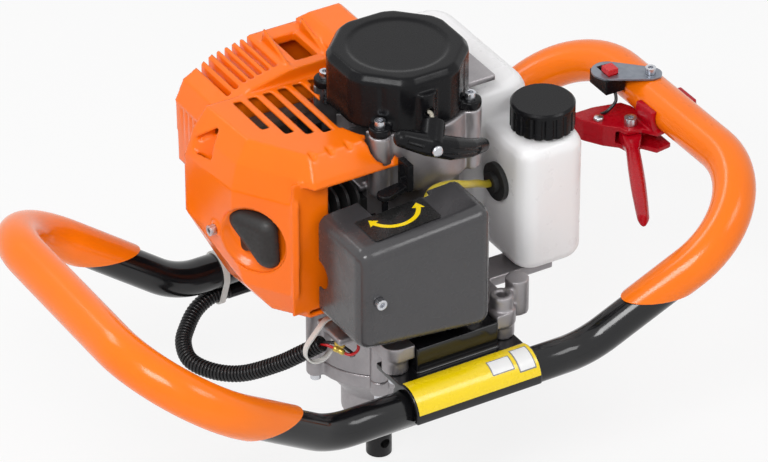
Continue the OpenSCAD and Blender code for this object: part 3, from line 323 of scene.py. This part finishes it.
for name, s in (("left", -1), ("right", 1)):
    front_half = [(joint_x, -rail_y, rail_z), (s * rail_x, -rail_y, rail_z), (s * hold_x, -hold_y, hold_z)]
    rear_half = [(x, -y, z) for x, y, z in reversed(front_half)]
    bends = [0, rail_bend, hold_bend, hold_bend, rail_bend, 0]
    hold_line = bent_line(front_half + rear_half, bends, steps=20)
    tube_mesh = sleeve_mesh(name + "_tube", hold_line, tube_radius, sides=40)
    tube = piece_of(name + "_tube", tube_mesh)
    tube_black.on(tube)
    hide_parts(name + "_hoop")
    coat = bmesh.new()
    coat.from_mesh(sleeve_mesh("coat", hold_line, vinyl_radius, sides=40))
    whole = coat.verts[:] + coat.edges[:] + coat.faces[:]
    cut = bmesh.ops.bisect_plane(coat, geom=whole, plane_co=(0, 0, dip_z), plane_no=(0, 0, -1),
                                 clear_outer=True)
    rim = [e for e in cut["geom_cut"] if isinstance(e, bmesh.types.BMEdge)]
    bmesh.ops.holes_fill(coat, edges=rim, sides=0)
    rim = [e for e in coat.edges if all(abs(v.co.z - dip_z) < 1e-6 for v in e.verts)]
    bmesh.ops.bevel(coat, geom=rim, offset=rim_round, segments=4, affect="EDGES", profile=0.5)
    bmesh.ops.recalc_face_normals(coat, faces=coat.faces)
    coat_mesh = bpy.data.meshes.new(name + "_vinyl")
    coat.to_mesh(coat_mesh)
    coat.free()
    coat_mesh.shade_smooth()
    vinyl = piece_of(name + "_vinyl", coat_mesh)
    vinyl_orange.on(vinyl)
    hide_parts(name + "_grip")


# Saddle brackets.
# Two saddles of pressed steel that hold the hoops' ends, each with a flange screwed up into the gearbox's
# feet. They have the tube's own black paint.
def moulded(node, name, voxel, rounds, triangles, body="frame", cutters=(), fillers=()):
    """A copy of a solid with its edges rounded, as it leaves the mould"""
    made = bmesh.new()
    made.from_mesh(frame["nodes"][node].data)
    bmesh.ops.remove_doubles(made, verts=made.verts, dist=1e-6)
    mesh = bpy.data.meshes.new(name)
    made.to_mesh(mesh)
    made.free()
    o = bpy.data.objects.new(name, mesh)
    scene.collection.objects.link(o)
    for operation, group in (("UNION", fillers), ("DIFFERENCE", cutters)):
        for c in group:
            m = o.modifiers.new("shape", "BOOLEAN")
            m.operation = operation
            m.object = c
    m = o.modifiers.new("skin", "REMESH")
    m.mode = "VOXEL"
    m.voxel_size = voxel
    m = o.modifiers.new("round", "SMOOTH")
    m.factor = 0.5
    m.iterations = rounds
    graph = bpy.context.evaluated_depsgraph_get()
    count = sum(len(p.vertices) - 2 for p in o.evaluated_get(graph).data.polygons)
    if count > triangles:
        m = o.modifiers.new("thin", "DECIMATE")
        m.ratio = triangles / count
        graph = bpy.context.evaluated_depsgraph_get()
    done = bpy.data.meshes.new_from_object(o.evaluated_get(graph), depsgraph=graph)
    bpy.data.objects.remove(o)
    for c in [*cutters, *fillers]:
        bpy.data.objects.remove(c)
    done.name = name
    done.shade_smooth()
    p = piece_of(name, done, body)
    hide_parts(node)
    return p


for node in ("front_bracket", "rear_bracket"):
    saddle = node.replace("bracket", "saddle")
    tube_black.on(moulded(node, saddle, voxel=0.0009, rounds=3, triangles=50000))


# Saddle label.
# Yellow vinyl sticker wrapped over the front saddle, with two blank white panels in grey frames.
# Each layer lies a little higher than the one under it.
def skin_patch(name, surface, nu, nv, thick):
    """A thin closed skin; surface(u, v) gives a point and its outward normal"""
    made = bmesh.new()
    low, top = [], []
    for sheet, lift in ((low, 0), (top, thick)):
        for i in range(nu + 1):
            row = [surface(i / nu, j / nv) for j in range(nv + 1)]
            sheet.append([made.verts.new(p + n * lift) for p, n in row])
    for i in range(nu):
        for j in range(nv):
            made.faces.new((top[i][j], top[i + 1][j], top[i + 1][j + 1], top[i][j + 1]))
            made.faces.new((low[i][j], low[i][j + 1], low[i + 1][j + 1], low[i + 1][j]))
    for j in range(nv):
        for i in (0, nu):
            made.faces.new((low[i][j], low[i][j + 1], top[i][j + 1], top[i][j]))
    for i in range(nu):
        for j in (0, nv):
            made.faces.new((low[i][j], low[i + 1][j], top[i + 1][j], top[i][j]))
    bmesh.ops.recalc_face_normals(made, faces=made.faces)
    mesh = bpy.data.meshes.new(name)
    made.to_mesh(mesh)
    made.free()
    return mesh


saddle_radius = 0.0186
sticker_thickness = 0.00012


def saddle_panel(name, x0, x1, a0, a1, lift, finish):
    """A sticker round the saddle, between two ends in metres and two angles from the top"""
    def surface(u, v):
        a = math.radians(a0 + (a1 - a0) * v)
        n = Vector((0, -math.sin(a), math.cos(a)))
        return Vector((x0 + (x1 - x0) * u, -rail_y / 1000, rail_z / 1000)) + n * (saddle_radius + lift), n
    skin = skin_patch(name, surface, nu=2, nv=28, thick=sticker_thickness)
    finish.on(piece_of(name, skin))


label_yellow = Finish("label_yellow", linear(246, 214, 6), rough=0.3, Coat_Weight=0.4, Coat_Roughness=0.15)
label_yellow.paint(label_yellow.patches(60, 3, 0.4, 0.75) * 0.25, linear(236, 200, 4))
label_yellow.gloss(label_yellow.patches(200, 3) * 0.12 + 0.24)
label_white = Finish("label_white", linear(236, 236, 236), rough=0.35)
label_white.gloss(label_white.patches(200, 3) * 0.12 + 0.28)
label_grey = Finish("label_grey", linear(120, 122, 126), rough=0.35)
label_grey.gloss(label_grey.patches(200, 3) * 0.12 + 0.28)
saddle_panel("saddle_label", -0.0445, 0.0605, -20, 79, 0.0003, label_yellow)
saddle_panel("label_panel_edge", 0.0215, 0.0405, 8, 46, 0.00045, label_grey)
saddle_panel("label_panel", 0.0223, 0.0397, 10.5, 43.5, 0.0006, label_white)
saddle_panel("label_plate_edge", 0.0435, 0.0580, -4, 58, 0.00045, label_grey)
saddle_panel("label_plate", 0.0444, 0.0571, -1, 55, 0.0006, label_white)


# Castings.
# Gearbox, clutch bell, crankcase and fan housing: die-cast aluminium, blasted, with a grainy skin.
# Screws through their flanges hold them in one stack.
cast_grey = Finish("cast_grey", linear(162, 158, 160), rough=0.42, metal=0.85)
cast_skin = cast_grey.grain(650, 4, 0.6)
cast_grey.paint(cast_grey.patches(35, 4, 0.4, 0.75) * 0.6, linear(128, 125, 128))
cast_grey.gloss(cast_grey.between(cast_skin, 0.3, 0.7) * 0.2 + 0.32)
cast_grey.rounded(0.0008)
cast_grey.relief(cast_skin, depth=0.0003, strength=0.35)
for node in ("gearbox_housing", "gearbox_cover", "clutch_housing", "fan_housing"):
    casting = node.replace("housing", "casting").replace("cover", "lid")
    cast_grey.on(moulded(node, casting, voxel=0.0011, rounds=3, triangles=60000))
cast_grey.on("crankcase_lower", "crankcase_upper", "piston", "carburettor", "flywheel")


# Screws and small steel.
# Socket-head screws with bright zinc, the switch plate, the plug's shell, and the steel inside the engine
# and the gearbox: turned, blackened, or stained by heat.
zinc = Finish("zinc", linear(205, 207, 212), rough=0.26, metal=1.0)
zinc.paint(zinc.patches(300, 3, 0.4, 0.7) * 0.5, linear(165, 165, 168))
zinc.gloss(zinc.patches(180, 3) * 0.2 + 0.18)
zinc.rounded(0.0004)
zinc.on("case_screws", "bracket_screws", "small_screws", "air_filter_screw", "spark_plug")
plate_steel = Finish("plate_steel", linear(140, 145, 154), rough=0.42, metal=1.0)
plate_steel.paint(plate_steel.patches(120, 3, 0.4, 0.7) * 0.5, linear(112, 116, 124))
plate_steel.gloss(plate_steel.patches(300, 3) * 0.2 + 0.32)
plate_steel.rounded(0.0004)
plate_steel.on("switch_plate")
machined = Finish("machined_steel", linear(150, 152, 156), rough=0.3, metal=1.0)
machined.gloss(machined.between(machined.grain(500, 2, stretch=(1, 1, 9)), 0.3, 0.7) * 0.2 + 0.22)
machined.rounded(0.0004)
machined.on("gearbox_bearings", "crankshaft", "connecting_rod", "clutch_hub", "clutch_shoe_a",
            "clutch_shoe_b", "clutch_drum", "idler_gear", "output_gear")
oxide = Finish("black_oxide", (0.02, 0.02, 0.021), rough=0.35, metal=0.7)
oxide.gloss(oxide.patches(240, 3) * 0.25 + 0.25)
oxide.paint(oxide.patches(60, 4, 0.5, 0.75) * 0.5, (0.06, 0.06, 0.062))
oxide.rounded(0.0006)
oxide.on("output_shaft", "ignition_coil")
heat_black = Finish("heat_black", (0.022, 0.022, 0.023), rough=0.55, metal=0.3)
heat_black.gloss(heat_black.patches(420, 3) * 0.2 + 0.45)
heat_black.rounded(0.0005)
heat_black.on("cylinder_barrel")
exhaust_steel = Finish("exhaust_steel", linear(120, 112, 104), rough=0.5, metal=0.8)
exhaust_steel.paint(exhaust_steel.patches(40, 4, 0.4, 0.7) * 0.7, linear(92, 78, 66))
exhaust_steel.gloss(exhaust_steel.patches(300, 3) * 0.25 + 0.4)
exhaust_steel.rounded(0.0008)
exhaust_steel.on("muffler")
brass = Finish("brass", linear(190, 158, 88), rough=0.35, metal=1.0)
brass.gloss(brass.patches(300, 3) * 0.2 + 0.28)
brass.on("throttle_arm")


# Cylinder shroud.
# Orange injection-moulded cowl over cylinder and silencer, with cooling slots, nicks along its front edge
# and a dish for the plug boot. One screw through its left side holds it.
shroud_orange = Finish("shroud_orange", linear(253, 118, 8), rough=0.32, Specular_Ior_Level=0.3,
                       Coat_Weight=0.1, Coat_Roughness=0.2)
shroud_orange.paint(shroud_orange.patches(18, 3, 0.35, 0.75) * 0.25, linear(246, 100, 6))
shroud_orange.gloss(shroud_orange.patches(120, 3) * 0.1 + 0.17)
shroud_orange.rounded(0.0028)
shroud_orange.relief(shroud_orange.grain(900, 2), depth=0.0002, strength=0.06)


def solid_of(name, points, faces):
    """A loose solid from points in millimetres"""
    mesh = bpy.data.meshes.new(name)
    mesh.from_pydata([Vector(p) / 1000 for p in points], [], faces)
    made = bmesh.new()
    made.from_mesh(mesh)
    bmesh.ops.recalc_face_normals(made, faces=made.faces)
    made.to_mesh(mesh)
    made.free()
    o = bpy.data.objects.new(name, mesh)
    scene.collection.objects.link(o)
    return o


def wedge(name, a, b, c, d):
    return solid_of(name, (a, b, c, d), ((0, 1, 2), (0, 1, 3), (1, 2, 3), (0, 2, 3)))


def lathe(name, profile, at, axis, sides, ring=False):
    """A turned shape: radius and height pairs in millimetres, about an axis"""
    z = Vector(axis).normalized()
    x = z.orthogonal().normalized()
    y = z.cross(x)
    made = bmesh.new()
    loops = []
    for r, h in profile:
        c = Vector(at) + z * h
        if r == 0:
            loops.append([made.verts.new(c / 1000)])
        else:
            loops.append([made.verts.new((c + r * (x * math.cos(t) + y * math.sin(t))) / 1000)
                          for t in (2 * math.pi * k / sides for k in range(sides))])
    for a, b in zip(loops, loops[1:] + loops[:1] if ring else loops[1:]):
        for k in range(sides):
            j = (k + 1) % sides
            if len(a) == 1:
                made.faces.new((a[0], b[j], b[k]))
            elif len(b) == 1:
                made.faces.new((a[k], a[j], b[0]))
            else:
                made.faces.new((a[k], a[j], b[j], b[k]))
    bmesh.ops.recalc_face_normals(made, faces=made.faces)
    mesh = bpy.data.meshes.new(name)
    made.to_mesh(mesh)
    made.free()
    mesh.shade_smooth()
    return mesh


front_nicks = [wedge("nick", (x, -29, 313.6), (x - 5, -42, 313.6), (x + 5, -42, 313.6), (x, -40, 308.8))
               for x in (-78, -63, -48, -33)]
dent_near = [Vector((-121.2, 58, 296.4)), Vector((-112.4, 44.6, 306.6)), Vector((-111.4, 47.6, 293)),
             Vector((-121, 54.5, 287))]
dent_depth = Vector((0.85, 1.44, -1.09))
dent_far = [p + dent_depth for p in dent_near]
dent_faces = [(0, 1, 2), (0, 2, 3), (6, 5, 4), (7, 6, 4)]
dent_faces += [(i, (i + 1) % 4, 4 + (i + 1) % 4, 4 + i) for i in range(4)]
dent_floor = solid_of("dent_floor", dent_near + dent_far, dent_faces)
shroud_orange.on(moulded("cylinder_shroud", "shroud", voxel=0.001, rounds=6, triangles=195000,
                         cutters=front_nicks, fillers=[dent_floor]))
dish_turn = math.radians(33)
dish_axis = (-math.cos(dish_turn), -math.sin(dish_turn), 0)
dish_at = (-110, -10, 238)
dish_profile = [(27.6, 5), (26.4, 4.6), (24.5, 1.5), (20, -1.8), (13, -3.4), (6, -4), (6, -6), (14, -5.4),
                (22, -3.6), (27.6, 1)]
dish_mesh = lathe("plug_dish", dish_profile, dish_at, dish_axis, sides=64, ring=True)
shroud_orange.on(piece_of("plug_dish", dish_mesh))


# Black mouldings.
# Starter cover, pulley, handle, fuel cap, choke lever and the cable sleeve: glass-filled nylon. The plug's
# boot and the seals are soft black rubber.
nylon_black = Finish("nylon_black", (0.006, 0.006, 0.007), rough=0.34, Specular_Ior_Level=0.14)
nylon_black.gloss(nylon_black.patches(240, 3) * 0.1 + 0.2)
nylon_black.paint(nylon_black.patches(50, 4, 0.5, 0.8) * 0.25, (0.013, 0.013, 0.014))
nylon_black.rounded(0.0006)
nylon_black.relief(nylon_black.grain(1100, 3), depth=0.0002, strength=0.1)
nylon_black.on(moulded("starter_cover", "starter_cowl", voxel=0.0012, rounds=6, triangles=150000))
handle_x, handle_y, handle_z = -2, -78, 319
handle_tilt = math.radians(24)
bar_radius = 85
bar_shift = 11
groove_radius = 0.0017


def bar_point(t, out, up):
    """A point of the handle's curved bar, at an angle along it, an outward offset and a height"""
    a = math.radians(t)
    x = bar_shift + (bar_radius + out) * math.sin(a)
    y = bar_radius - (bar_radius + out) * math.cos(a)
    tilted_x = x * math.cos(handle_tilt) + up * math.sin(handle_tilt)
    tilted_z = up * math.cos(handle_tilt) - x * math.sin(handle_tilt)
    return Vector((handle_x + tilted_x, handle_y + y, handle_z + tilted_z)) / 1000


grooves = []
for up in (-2.6, 2.6):
    for first, last in ((-21, -12), (-2, 25)):
        run = [bar_point(t, 9.0 - abs(t) / 8, up * (1 - abs(t) / 60)) for t in range(first, last, 2)]
        g = bpy.data.objects.new("groove", sleeve_mesh("groove", run, groove_radius, sides=10))
        scene.collection.objects.link(g)
        grooves.append(g)
nylon_black.on(moulded("pull_handle", "starter_handle", voxel=0.0006, rounds=2, triangles=70000,
                       body="handle", cutters=grooves))
rivet_profile = [(0, -1.5), (4.4, -1.5), (4.4, 0.2), (3.8, 1.0), (2.2, 1.5), (0, 1.6)]
rivet_at = (-2, -87.6, 319)
rivet_mesh = lathe("handle_rivet", rivet_profile, rivet_at, axis=(0, -1, 0), sides=32)
zinc.on(piece_of("handle_rivet", rivet_mesh, body="handle"))
nylon_black.on(moulded("choke_lever", "choke_knob", voxel=0.0005, rounds=5, triangles=30000,
                       body="choke"))
nylon_black.on("starter_pulley", "fuel_cap", "intake_insulator", "throttle_sleeve")
rubber = Finish("black_rubber", (0.014, 0.014, 0.014), rough=0.6)
rubber.gloss(rubber.patches(400, 3) * 0.2 + 0.45)
rubber.rounded(0.0006)
rubber.on(moulded("plug_boot", "plug_cap", voxel=0.0008, rounds=4, triangles=40000))
rubber.on("tank_grommet", "cap_seal", "output_seal")


# Starter rope.
# Braided nylon cord from the pulley through the cover's eye into the handle, where a knot holds it. On the
# real tool its free end goes with the handle and draws the rest out; here the cord is one still piece in
# its resting line.
rope_braid = Finish("rope_braid", linear(205, 200, 186), rough=0.8)
rope_braid.relief(rope_braid.cells(900), depth=0.0006, strength=0.7)
rope_braid.paint(rope_braid.between(rope_braid.cells(900), 0.25, 0.6) * 0.7, linear(150, 144, 128))
rope_radius, rope_steps = 0.0015, 6
rope_line = bent_line([(-9.8, -3, 332), (10, -46, 332), (10, -58.5, 332)], [0, 8, 0], rope_steps)
for stop in ((8, -64.5, 328), (3, -71.25, 323.5)):
    last = rope_line[-1]
    rope_line += [last.lerp(Vector(stop) / 1000, k / rope_steps) for k in range(1, rope_steps + 1)]
rope = bpy.data.objects.new("starter_cord", sleeve_mesh("starter_cord", rope_line, rope_radius, sides=12))
scene.collection.objects.link(rope)
rope_braid.on(rope)
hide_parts("starter_rope")
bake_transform(rope)


# Air filter.
# Dark grey cover of moulded plastic over a foam element, held by one screw. A black sticker on its sloping
# top has a plain arrow for the choke's swing.
cover_grey = Finish("cover_grey", linear(62, 61, 63), rough=0.3)
cover_grey.gloss(cover_grey.patches(80, 3) * 0.12 + 0.2)
cover_grey.paint(cover_grey.patches(25, 3, 0.4, 0.75) * 0.4, linear(54, 54, 56))
cover_grey.relief(cover_grey.grain(1000, 2), depth=0.0002, strength=0.1)
cover_grey.on(moulded("air_filter_cover", "filter_cover", voxel=0.0011, rounds=6, triangles=150000))
cover_left, cover_left_z, cover_slope = -73, 267, 6 / 98
decal_thickness = 0.15


def on_cover(x, y, lift):
    """A point over the cover's sloping top"""
    return (x, y, cover_left_z + (x - cover_left) * cover_slope + lift)


def decal(name, outline, lift, finish):
    """A flat sticker that follows the slope"""
    n = len(outline)
    under = [on_cover(x, y, lift) for x, y in outline]
    over = [on_cover(x, y, lift + decal_thickness) for x, y in outline]
    rim = [(i, (i + 1) % n, n + (i + 1) % n, n + i) for i in range(n)]
    o = solid_of(name, under + over, [tuple(range(n)), tuple(range(2 * n - 1, n - 1, -1))] + rim)
    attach(o, "frame")
    finish.on(o)


decal_black = Finish("decal_black", (0.012, 0.012, 0.012), rough=0.28)
decal_black.gloss(decal_black.patches(200, 3) * 0.12 + 0.22)
panel_outline = [(-62, -71), (-62, -99), (-60, -101), (-8, -101), (-6, -99), (-6, -71)]
decal("choke_panel", panel_outline, lift=0.9, finish=decal_black)
arrow_x, arrow_y = -33, -73
arrow_polar = [(22, a) for a in range(204, 337, 6)] + [(25, 336), (20.3, 354), (15.5, 336)]
arrow_polar += [(18.5, a) for a in range(336, 203, -6)] + [(15.5, 204), (20.3, 186), (25, 204)]
arrow_polar = [(r, math.radians(a)) for r, a in arrow_polar]
arrow_outline = [(arrow_x + r * math.cos(a), arrow_y + r * math.sin(a)) for r, a in arrow_polar]
decal("choke_arrow", arrow_outline, lift=1.1, finish=label_yellow)
foam = Finish("foam", (0.05, 0.05, 0.042), rough=0.9)
foam.relief(foam.cells(700), depth=0.001, strength=0.8)
foam.paint(foam.between(foam.cells(700), 0.2, 0.6), (0.02, 0.02, 0.018))
foam.on("air_filter_element")


# Fuel tank.
# Blow-moulded natural polyethylene, milky white and slightly see-through. It stands on the gearbox's lid.
# The white cable straps of the frame are nylon.
tank_white = Finish("tank_white", linear(253, 252, 253), rough=0.32, Subsurface_Weight=0.25,
                    Subsurface_Scale=0.01, Subsurface_Radius=(1, 1, 1))
tank_white.paint(tank_white.patches(14, 3, 0.4, 0.75) * 0.3, linear(242, 242, 244))
tank_white.gloss(tank_white.patches(60, 3) * 0.14 + 0.25)
tank_white.relief(tank_white.grain(160, 2), depth=0.0003, strength=0.12)
tank_white.on(moulded("fuel_tank", "tank", voxel=0.0017, rounds=5, triangles=190000))
strap_white = Finish("strap_white", linear(214, 214, 210), rough=0.45)
strap_white.gloss(strap_white.patches(500, 2) * 0.2 + 0.35)
strap_white.on("cable_ties")


# Fuel hose.
# Clear yellow hose of soft vinyl from the tank's grommet to the carburettor, pushed on its barb and held
# there by its own stretch.
def smooth_route(points, steps):
    """A curve through points in millimetres, as a line in metres"""
    line = []
    for i in range(len(points) - 1):
        a, b, c, d = (Vector(points[min(max(i + k, 0), len(points) - 1)]) for k in (-1, 0, 1, 2))
        for j in range(steps):
            t = j / steps
            line.append(0.5 * (2 * b + (c - a) * t + (2 * a - 5 * b + 4 * c - d) * t ** 2
                               + (3 * b - a - 3 * c + d) * t ** 3))
    return [v / 1000 for v in line + [Vector(points[-1])]]


def measure(line):
    return sum((b - a).length for a, b in zip(line, line[1:]))


fuel_route = [(92, -27, 232), (85, -27, 232), (78, -27.2, 232.3), (70, -33, 238), (58, -45, 249),
              (42, -57, 260), (24, -61, 268), (9, -61, 267), (1, -64, 256), (-3, -69, 246),
              (-9, -71.7, 242.4), (-18, -72, 242)]
fuel_line = smooth_route(fuel_route, steps=8)
hose_yellow = Finish("hose_yellow", linear(230, 208, 66), rough=0.3, Transmission_Weight=0.3,
                     Coat_Weight=0.15)
hose_yellow.paint(hose_yellow.patches(90, 3, 0.35, 0.7) * 0.6, linear(206, 178, 46))
hose_radius = 0.00295
hose_mesh = sleeve_mesh("fuel_line", fuel_line, hose_radius, sides=20)
fuel_hose = piece_of("fuel_line", hose_mesh)
hose_yellow.on(fuel_hose)
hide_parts("fuel_hose")
measure(fuel_line)


# Control conduit.
# Corrugated black plastic tube that carries the throttle cable and the stop wires. It leaves the strap on
# the rear rail, hangs in a loop beside the engine and ends at the strap on the gearbox.
def line_object(name, line):
    data = bpy.data.curves.new(name, "CURVE")
    data.dimensions = "3D"
    s = data.splines.new("POLY")
    s.points.add(len(line) - 1)
    for p, v in zip(s.points, line):
        p.co = (*v, 1)
    o = bpy.data.objects.new(name, data)
    scene.collection.objects.link(o)
    return o


class Grow:
    """A geometry node tree with named sizes, made into a plain mesh"""

    def __init__(self, name, **sizes):
        self.tree = bpy.data.node_groups.new(name, "GeometryNodeTree")
        face = self.tree.interface
        face.new_socket("Geometry", in_out="INPUT", socket_type="NodeSocketGeometry")
        self.ids = {}
        for k in sizes:
            end = face.new_socket(k, in_out="INPUT", socket_type="NodeSocketFloat")
            self.ids[k] = end.identifier
        face.new_socket("Geometry", in_out="OUTPUT", socket_type="NodeSocketGeometry")
        self.sizes = sizes
        self.start = self.tree.nodes.new("NodeGroupInput")
        self.end = self.tree.nodes.new("NodeGroupOutput")

    def size(self, name):
        return self.start.outputs[name]

    def add(self, kind, sockets, **settings):
        n = self.tree.nodes.new(kind)
        for k, v in settings.items():
            setattr(n, k, v)
        for k, v in sockets.items():
            if isinstance(v, bpy.types.NodeSocket):
                self.tree.links.new(v, n.inputs[k])
            else:
                n.inputs[k].default_value = v
        return n.outputs[0]

    def join(self, *parts):
        n = self.tree.nodes.new("GeometryNodeJoinGeometry")
        for p in parts:
            self.tree.links.new(p, n.inputs[0])
        return n.outputs[0]

    def grown(self, obj, result, material, name):
        real = self.add("GeometryNodeRealizeInstances", {"Geometry": result})
        done = self.add("GeometryNodeSetMaterial", {"Geometry": real, "Material": material})
        self.tree.links.new(done, self.end.inputs[0])
        m = obj.modifiers.new(name, "NODES")
        m.node_group = self.tree
        for k, v in self.sizes.items():
            m[self.ids[k]] = v
        graph = bpy.context.evaluated_depsgraph_get()
        mesh = bpy.data.meshes.new_from_object(obj.evaluated_get(graph), depsgraph=graph)
        obj.modifiers.remove(m)
        piece = bpy.data.objects.new(name, mesh)
        scene.collection.objects.link(piece)
        bpy.data.objects.remove(obj)
        mesh.shade_smooth()
        return piece


conduit_end = (-70, -34, 143)
conduit_route = [(-67, 116, 103.5), (-81, 116, 103), (-97, 111, 99), (-111, 100, 94), (-122, 86, 91),
                 (-127, 65, 89), (-119, 42, 90), (-106, 20, 97), (-90, -5, 115), (-80, -20, 129),
                 conduit_end]
conduit_line = smooth_route(conduit_route, steps=12)
conduit_black = Finish("conduit_black", (0.008, 0.008, 0.009), rough=0.3, Specular_Ior_Level=0.35)
conduit_black.gloss(conduit_black.patches(900, 3, 0.2, 0.8) * 0.16 + 0.2)
conduit_black.paint(conduit_black.patches(140, 4, 0.45, 0.75) * 0.4, (0.02, 0.02, 0.021))
ribs = Grow("conduit_ribs", pitch=0.0031, outer=0.0065, bead=0.00115, core=0.0052)
middle = ribs.add("ShaderNodeMath", {0: ribs.size("outer"), 1: ribs.size("bead")}, operation="SUBTRACT")
ring = ribs.add("GeometryNodeCurvePrimitiveCircle", {"Resolution": 28, "Radius": middle}, mode="RADIUS")
bead = ribs.add("GeometryNodeCurvePrimitiveCircle", {"Resolution": 8, "Radius": ribs.size("bead")},
                mode="RADIUS")
rib = ribs.add("GeometryNodeCurveToMesh", {"Curve": ring, "Profile Curve": bead})
spots = ribs.add("GeometryNodeCurveToPoints", {
    "Curve": ribs.start.outputs[0], "Length": ribs.size("pitch")}, mode="LENGTH").node
rings = ribs.add("GeometryNodeInstanceOnPoints", {
    "Points": spots.outputs["Points"], "Instance": rib, "Rotation": spots.outputs["Rotation"]})
core_ring = ribs.add("GeometryNodeCurvePrimitiveCircle", {"Resolution": 24, "Radius": ribs.size("core")})
core = ribs.add("GeometryNodeCurveToMesh", {
    "Curve": ribs.start.outputs[0], "Fill Caps": True, "Profile Curve": core_ring})
conduit_path = line_object("conduit_line", conduit_line)
conduit = ribs.grown(conduit_path, ribs.join(rings, core), conduit_black.material, "conduit")
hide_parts("control_conduit")
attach(conduit, "frame")
measure(conduit_line)


# Throttle control.
# Red painted steel bracket clamped to the right hand hold, with an oval lever on a screw. The stop switch
# sits on a bare steel plate above it, with a short lead into the bracket.
lever_red = Finish("lever_red", linear(172, 4, 24), rough=0.26, Specular_Ior_Level=0.2, Coat_Weight=0.06,
                   Coat_Roughness=0.1)
lever_red.paint(lever_red.patches(60, 3, 0.4, 0.75) * 0.4, linear(160, 10, 28))
lever_red.gloss(lever_red.patches(200, 3) * 0.16 + 0.2)
lever_red.on(moulded("throttle_bracket", "control_bracket", voxel=0.0007, rounds=4, triangles=50000))
control_lever = moulded("throttle_lever", "control_lever", voxel=0.0007, rounds=5, triangles=40000,
                        body="lever")
lever_red.on(control_lever)
hub = Vector((0.232, 0.013, 0.205))
blade = Vector((-55, -103, 0)).normalized()
flank = Vector((-blade.y, blade.x, 0))
blade_start, blade_length, hub_fade = 0.010, 0.125, 0.014
root_half_width, taper = 0.0075, 0.013
half_height = 0.005
slim, swell = 0.68, 0.24
for v in control_lever.data.vertices:
    reach = (v.co - hub).dot(blade)
    half_width = root_half_width - taper * reach
    a = max(min((v.co - hub).dot(flank) / half_width, 1), -1)
    b = max(min((v.co.z - hub.z) / half_height, 1), -1)
    belly = slim + swell * math.sin(math.pi * max(min((reach - blade_start) / blade_length, 1), 0))
    bladed = max(min((reach - blade_start) / hub_fade, 1), 0)
    oval = hub + blade * reach + flank * (a * (1 - b * b / 2) ** 0.5 * half_width * belly)
    oval.z += b * (1 - a * a / 2) ** 0.5 * half_height
    v.co = v.co.lerp(oval, bladed)
button_red = Finish("button_red", linear(205, 14, 24), rough=0.28)
button_red.gloss(button_red.patches(300, 2) * 0.14 + 0.22)
button_red.rounded(0.0006)
button_red.on("stop_button")
bolt_profile = [(0, -1), (4.2, -1), (4.2, 2.4), (3.6, 3), (0, 3)]
bolt_at = (214.5, 31, 214.2)
bolt_mesh = lathe("control_bolt", bolt_profile, bolt_at, axis=(0, 0, 1), sides=6)
zinc.on(piece_of("control_bolt", bolt_mesh))
nylon_black.on(moulded("switch_body", "switch_case", voxel=0.0006, rounds=3, triangles=30000))
lead_line = smooth_route([(234, 40, 232), (232, 34, 226), (229, 33, 222), (223, 34, 217), (222, 40, 213),
                          (226, 45, 212)], steps=8)
lead_radius = 0.0013
lead_mesh = sleeve_mesh("stop_lead", lead_line, lead_radius, sides=12)
conduit_black.on(piece_of("stop_lead", lead_mesh))


# Stop wires.
# Two thin copper wires leave the conduit's end, one in black plastic and one in red. Each has a crimped
# bullet joint in a clear yellow sleeve, so that the engine can be taken off the frame.
wire_red = Finish("wire_red", linear(190, 14, 20), rough=0.35)
wire_red.gloss(wire_red.patches(500, 2) * 0.15 + 0.28)
joint_gold = Finish("joint_gold", linear(206, 178, 84), rough=0.28, metal=0.6)
joint_gold.paint(joint_gold.patches(400, 3, 0.4, 0.7) * 0.5, linear(150, 128, 60))
joint_gold.gloss(joint_gold.patches(300, 2) * 0.15 + 0.22)
black_run = smooth_route([conduit_end, (-66, -39, 146), (-61, -44, 146), (-56, -49, 142), (-51, -50, 136),
                          (-50, -44, 131)], steps=8)
red_run = smooth_route([conduit_end, (-67, -39, 143.5), (-61, -45, 140.5), (-55, -51, 138),
                        (-50, -54, 142), (-48, -50, 147), (-49, -42, 148)], steps=8)
wire_radius = 0.0012
joint_girth = [0.0016] + [0.0023] * 3 + [0.0019] + [0.0023] * 3 + [0.0016]
for wire_name, run, wire_finish, first in (("black_wire", black_run, conduit_black, 13),
                                           ("red_wire", red_run, wire_red, 12)):
    wire_mesh = sleeve_mesh(wire_name, run, wire_radius, sides=12)
    wire_finish.on(piece_of(wire_name, wire_mesh))
    joint_line = run[first:first + len(joint_girth)]
    joint_mesh = sleeve_mesh(wire_name + "_joint", joint_line, joint_girth, sides=16)
    joint_gold.on(piece_of(wire_name + "_joint", joint_mesh))
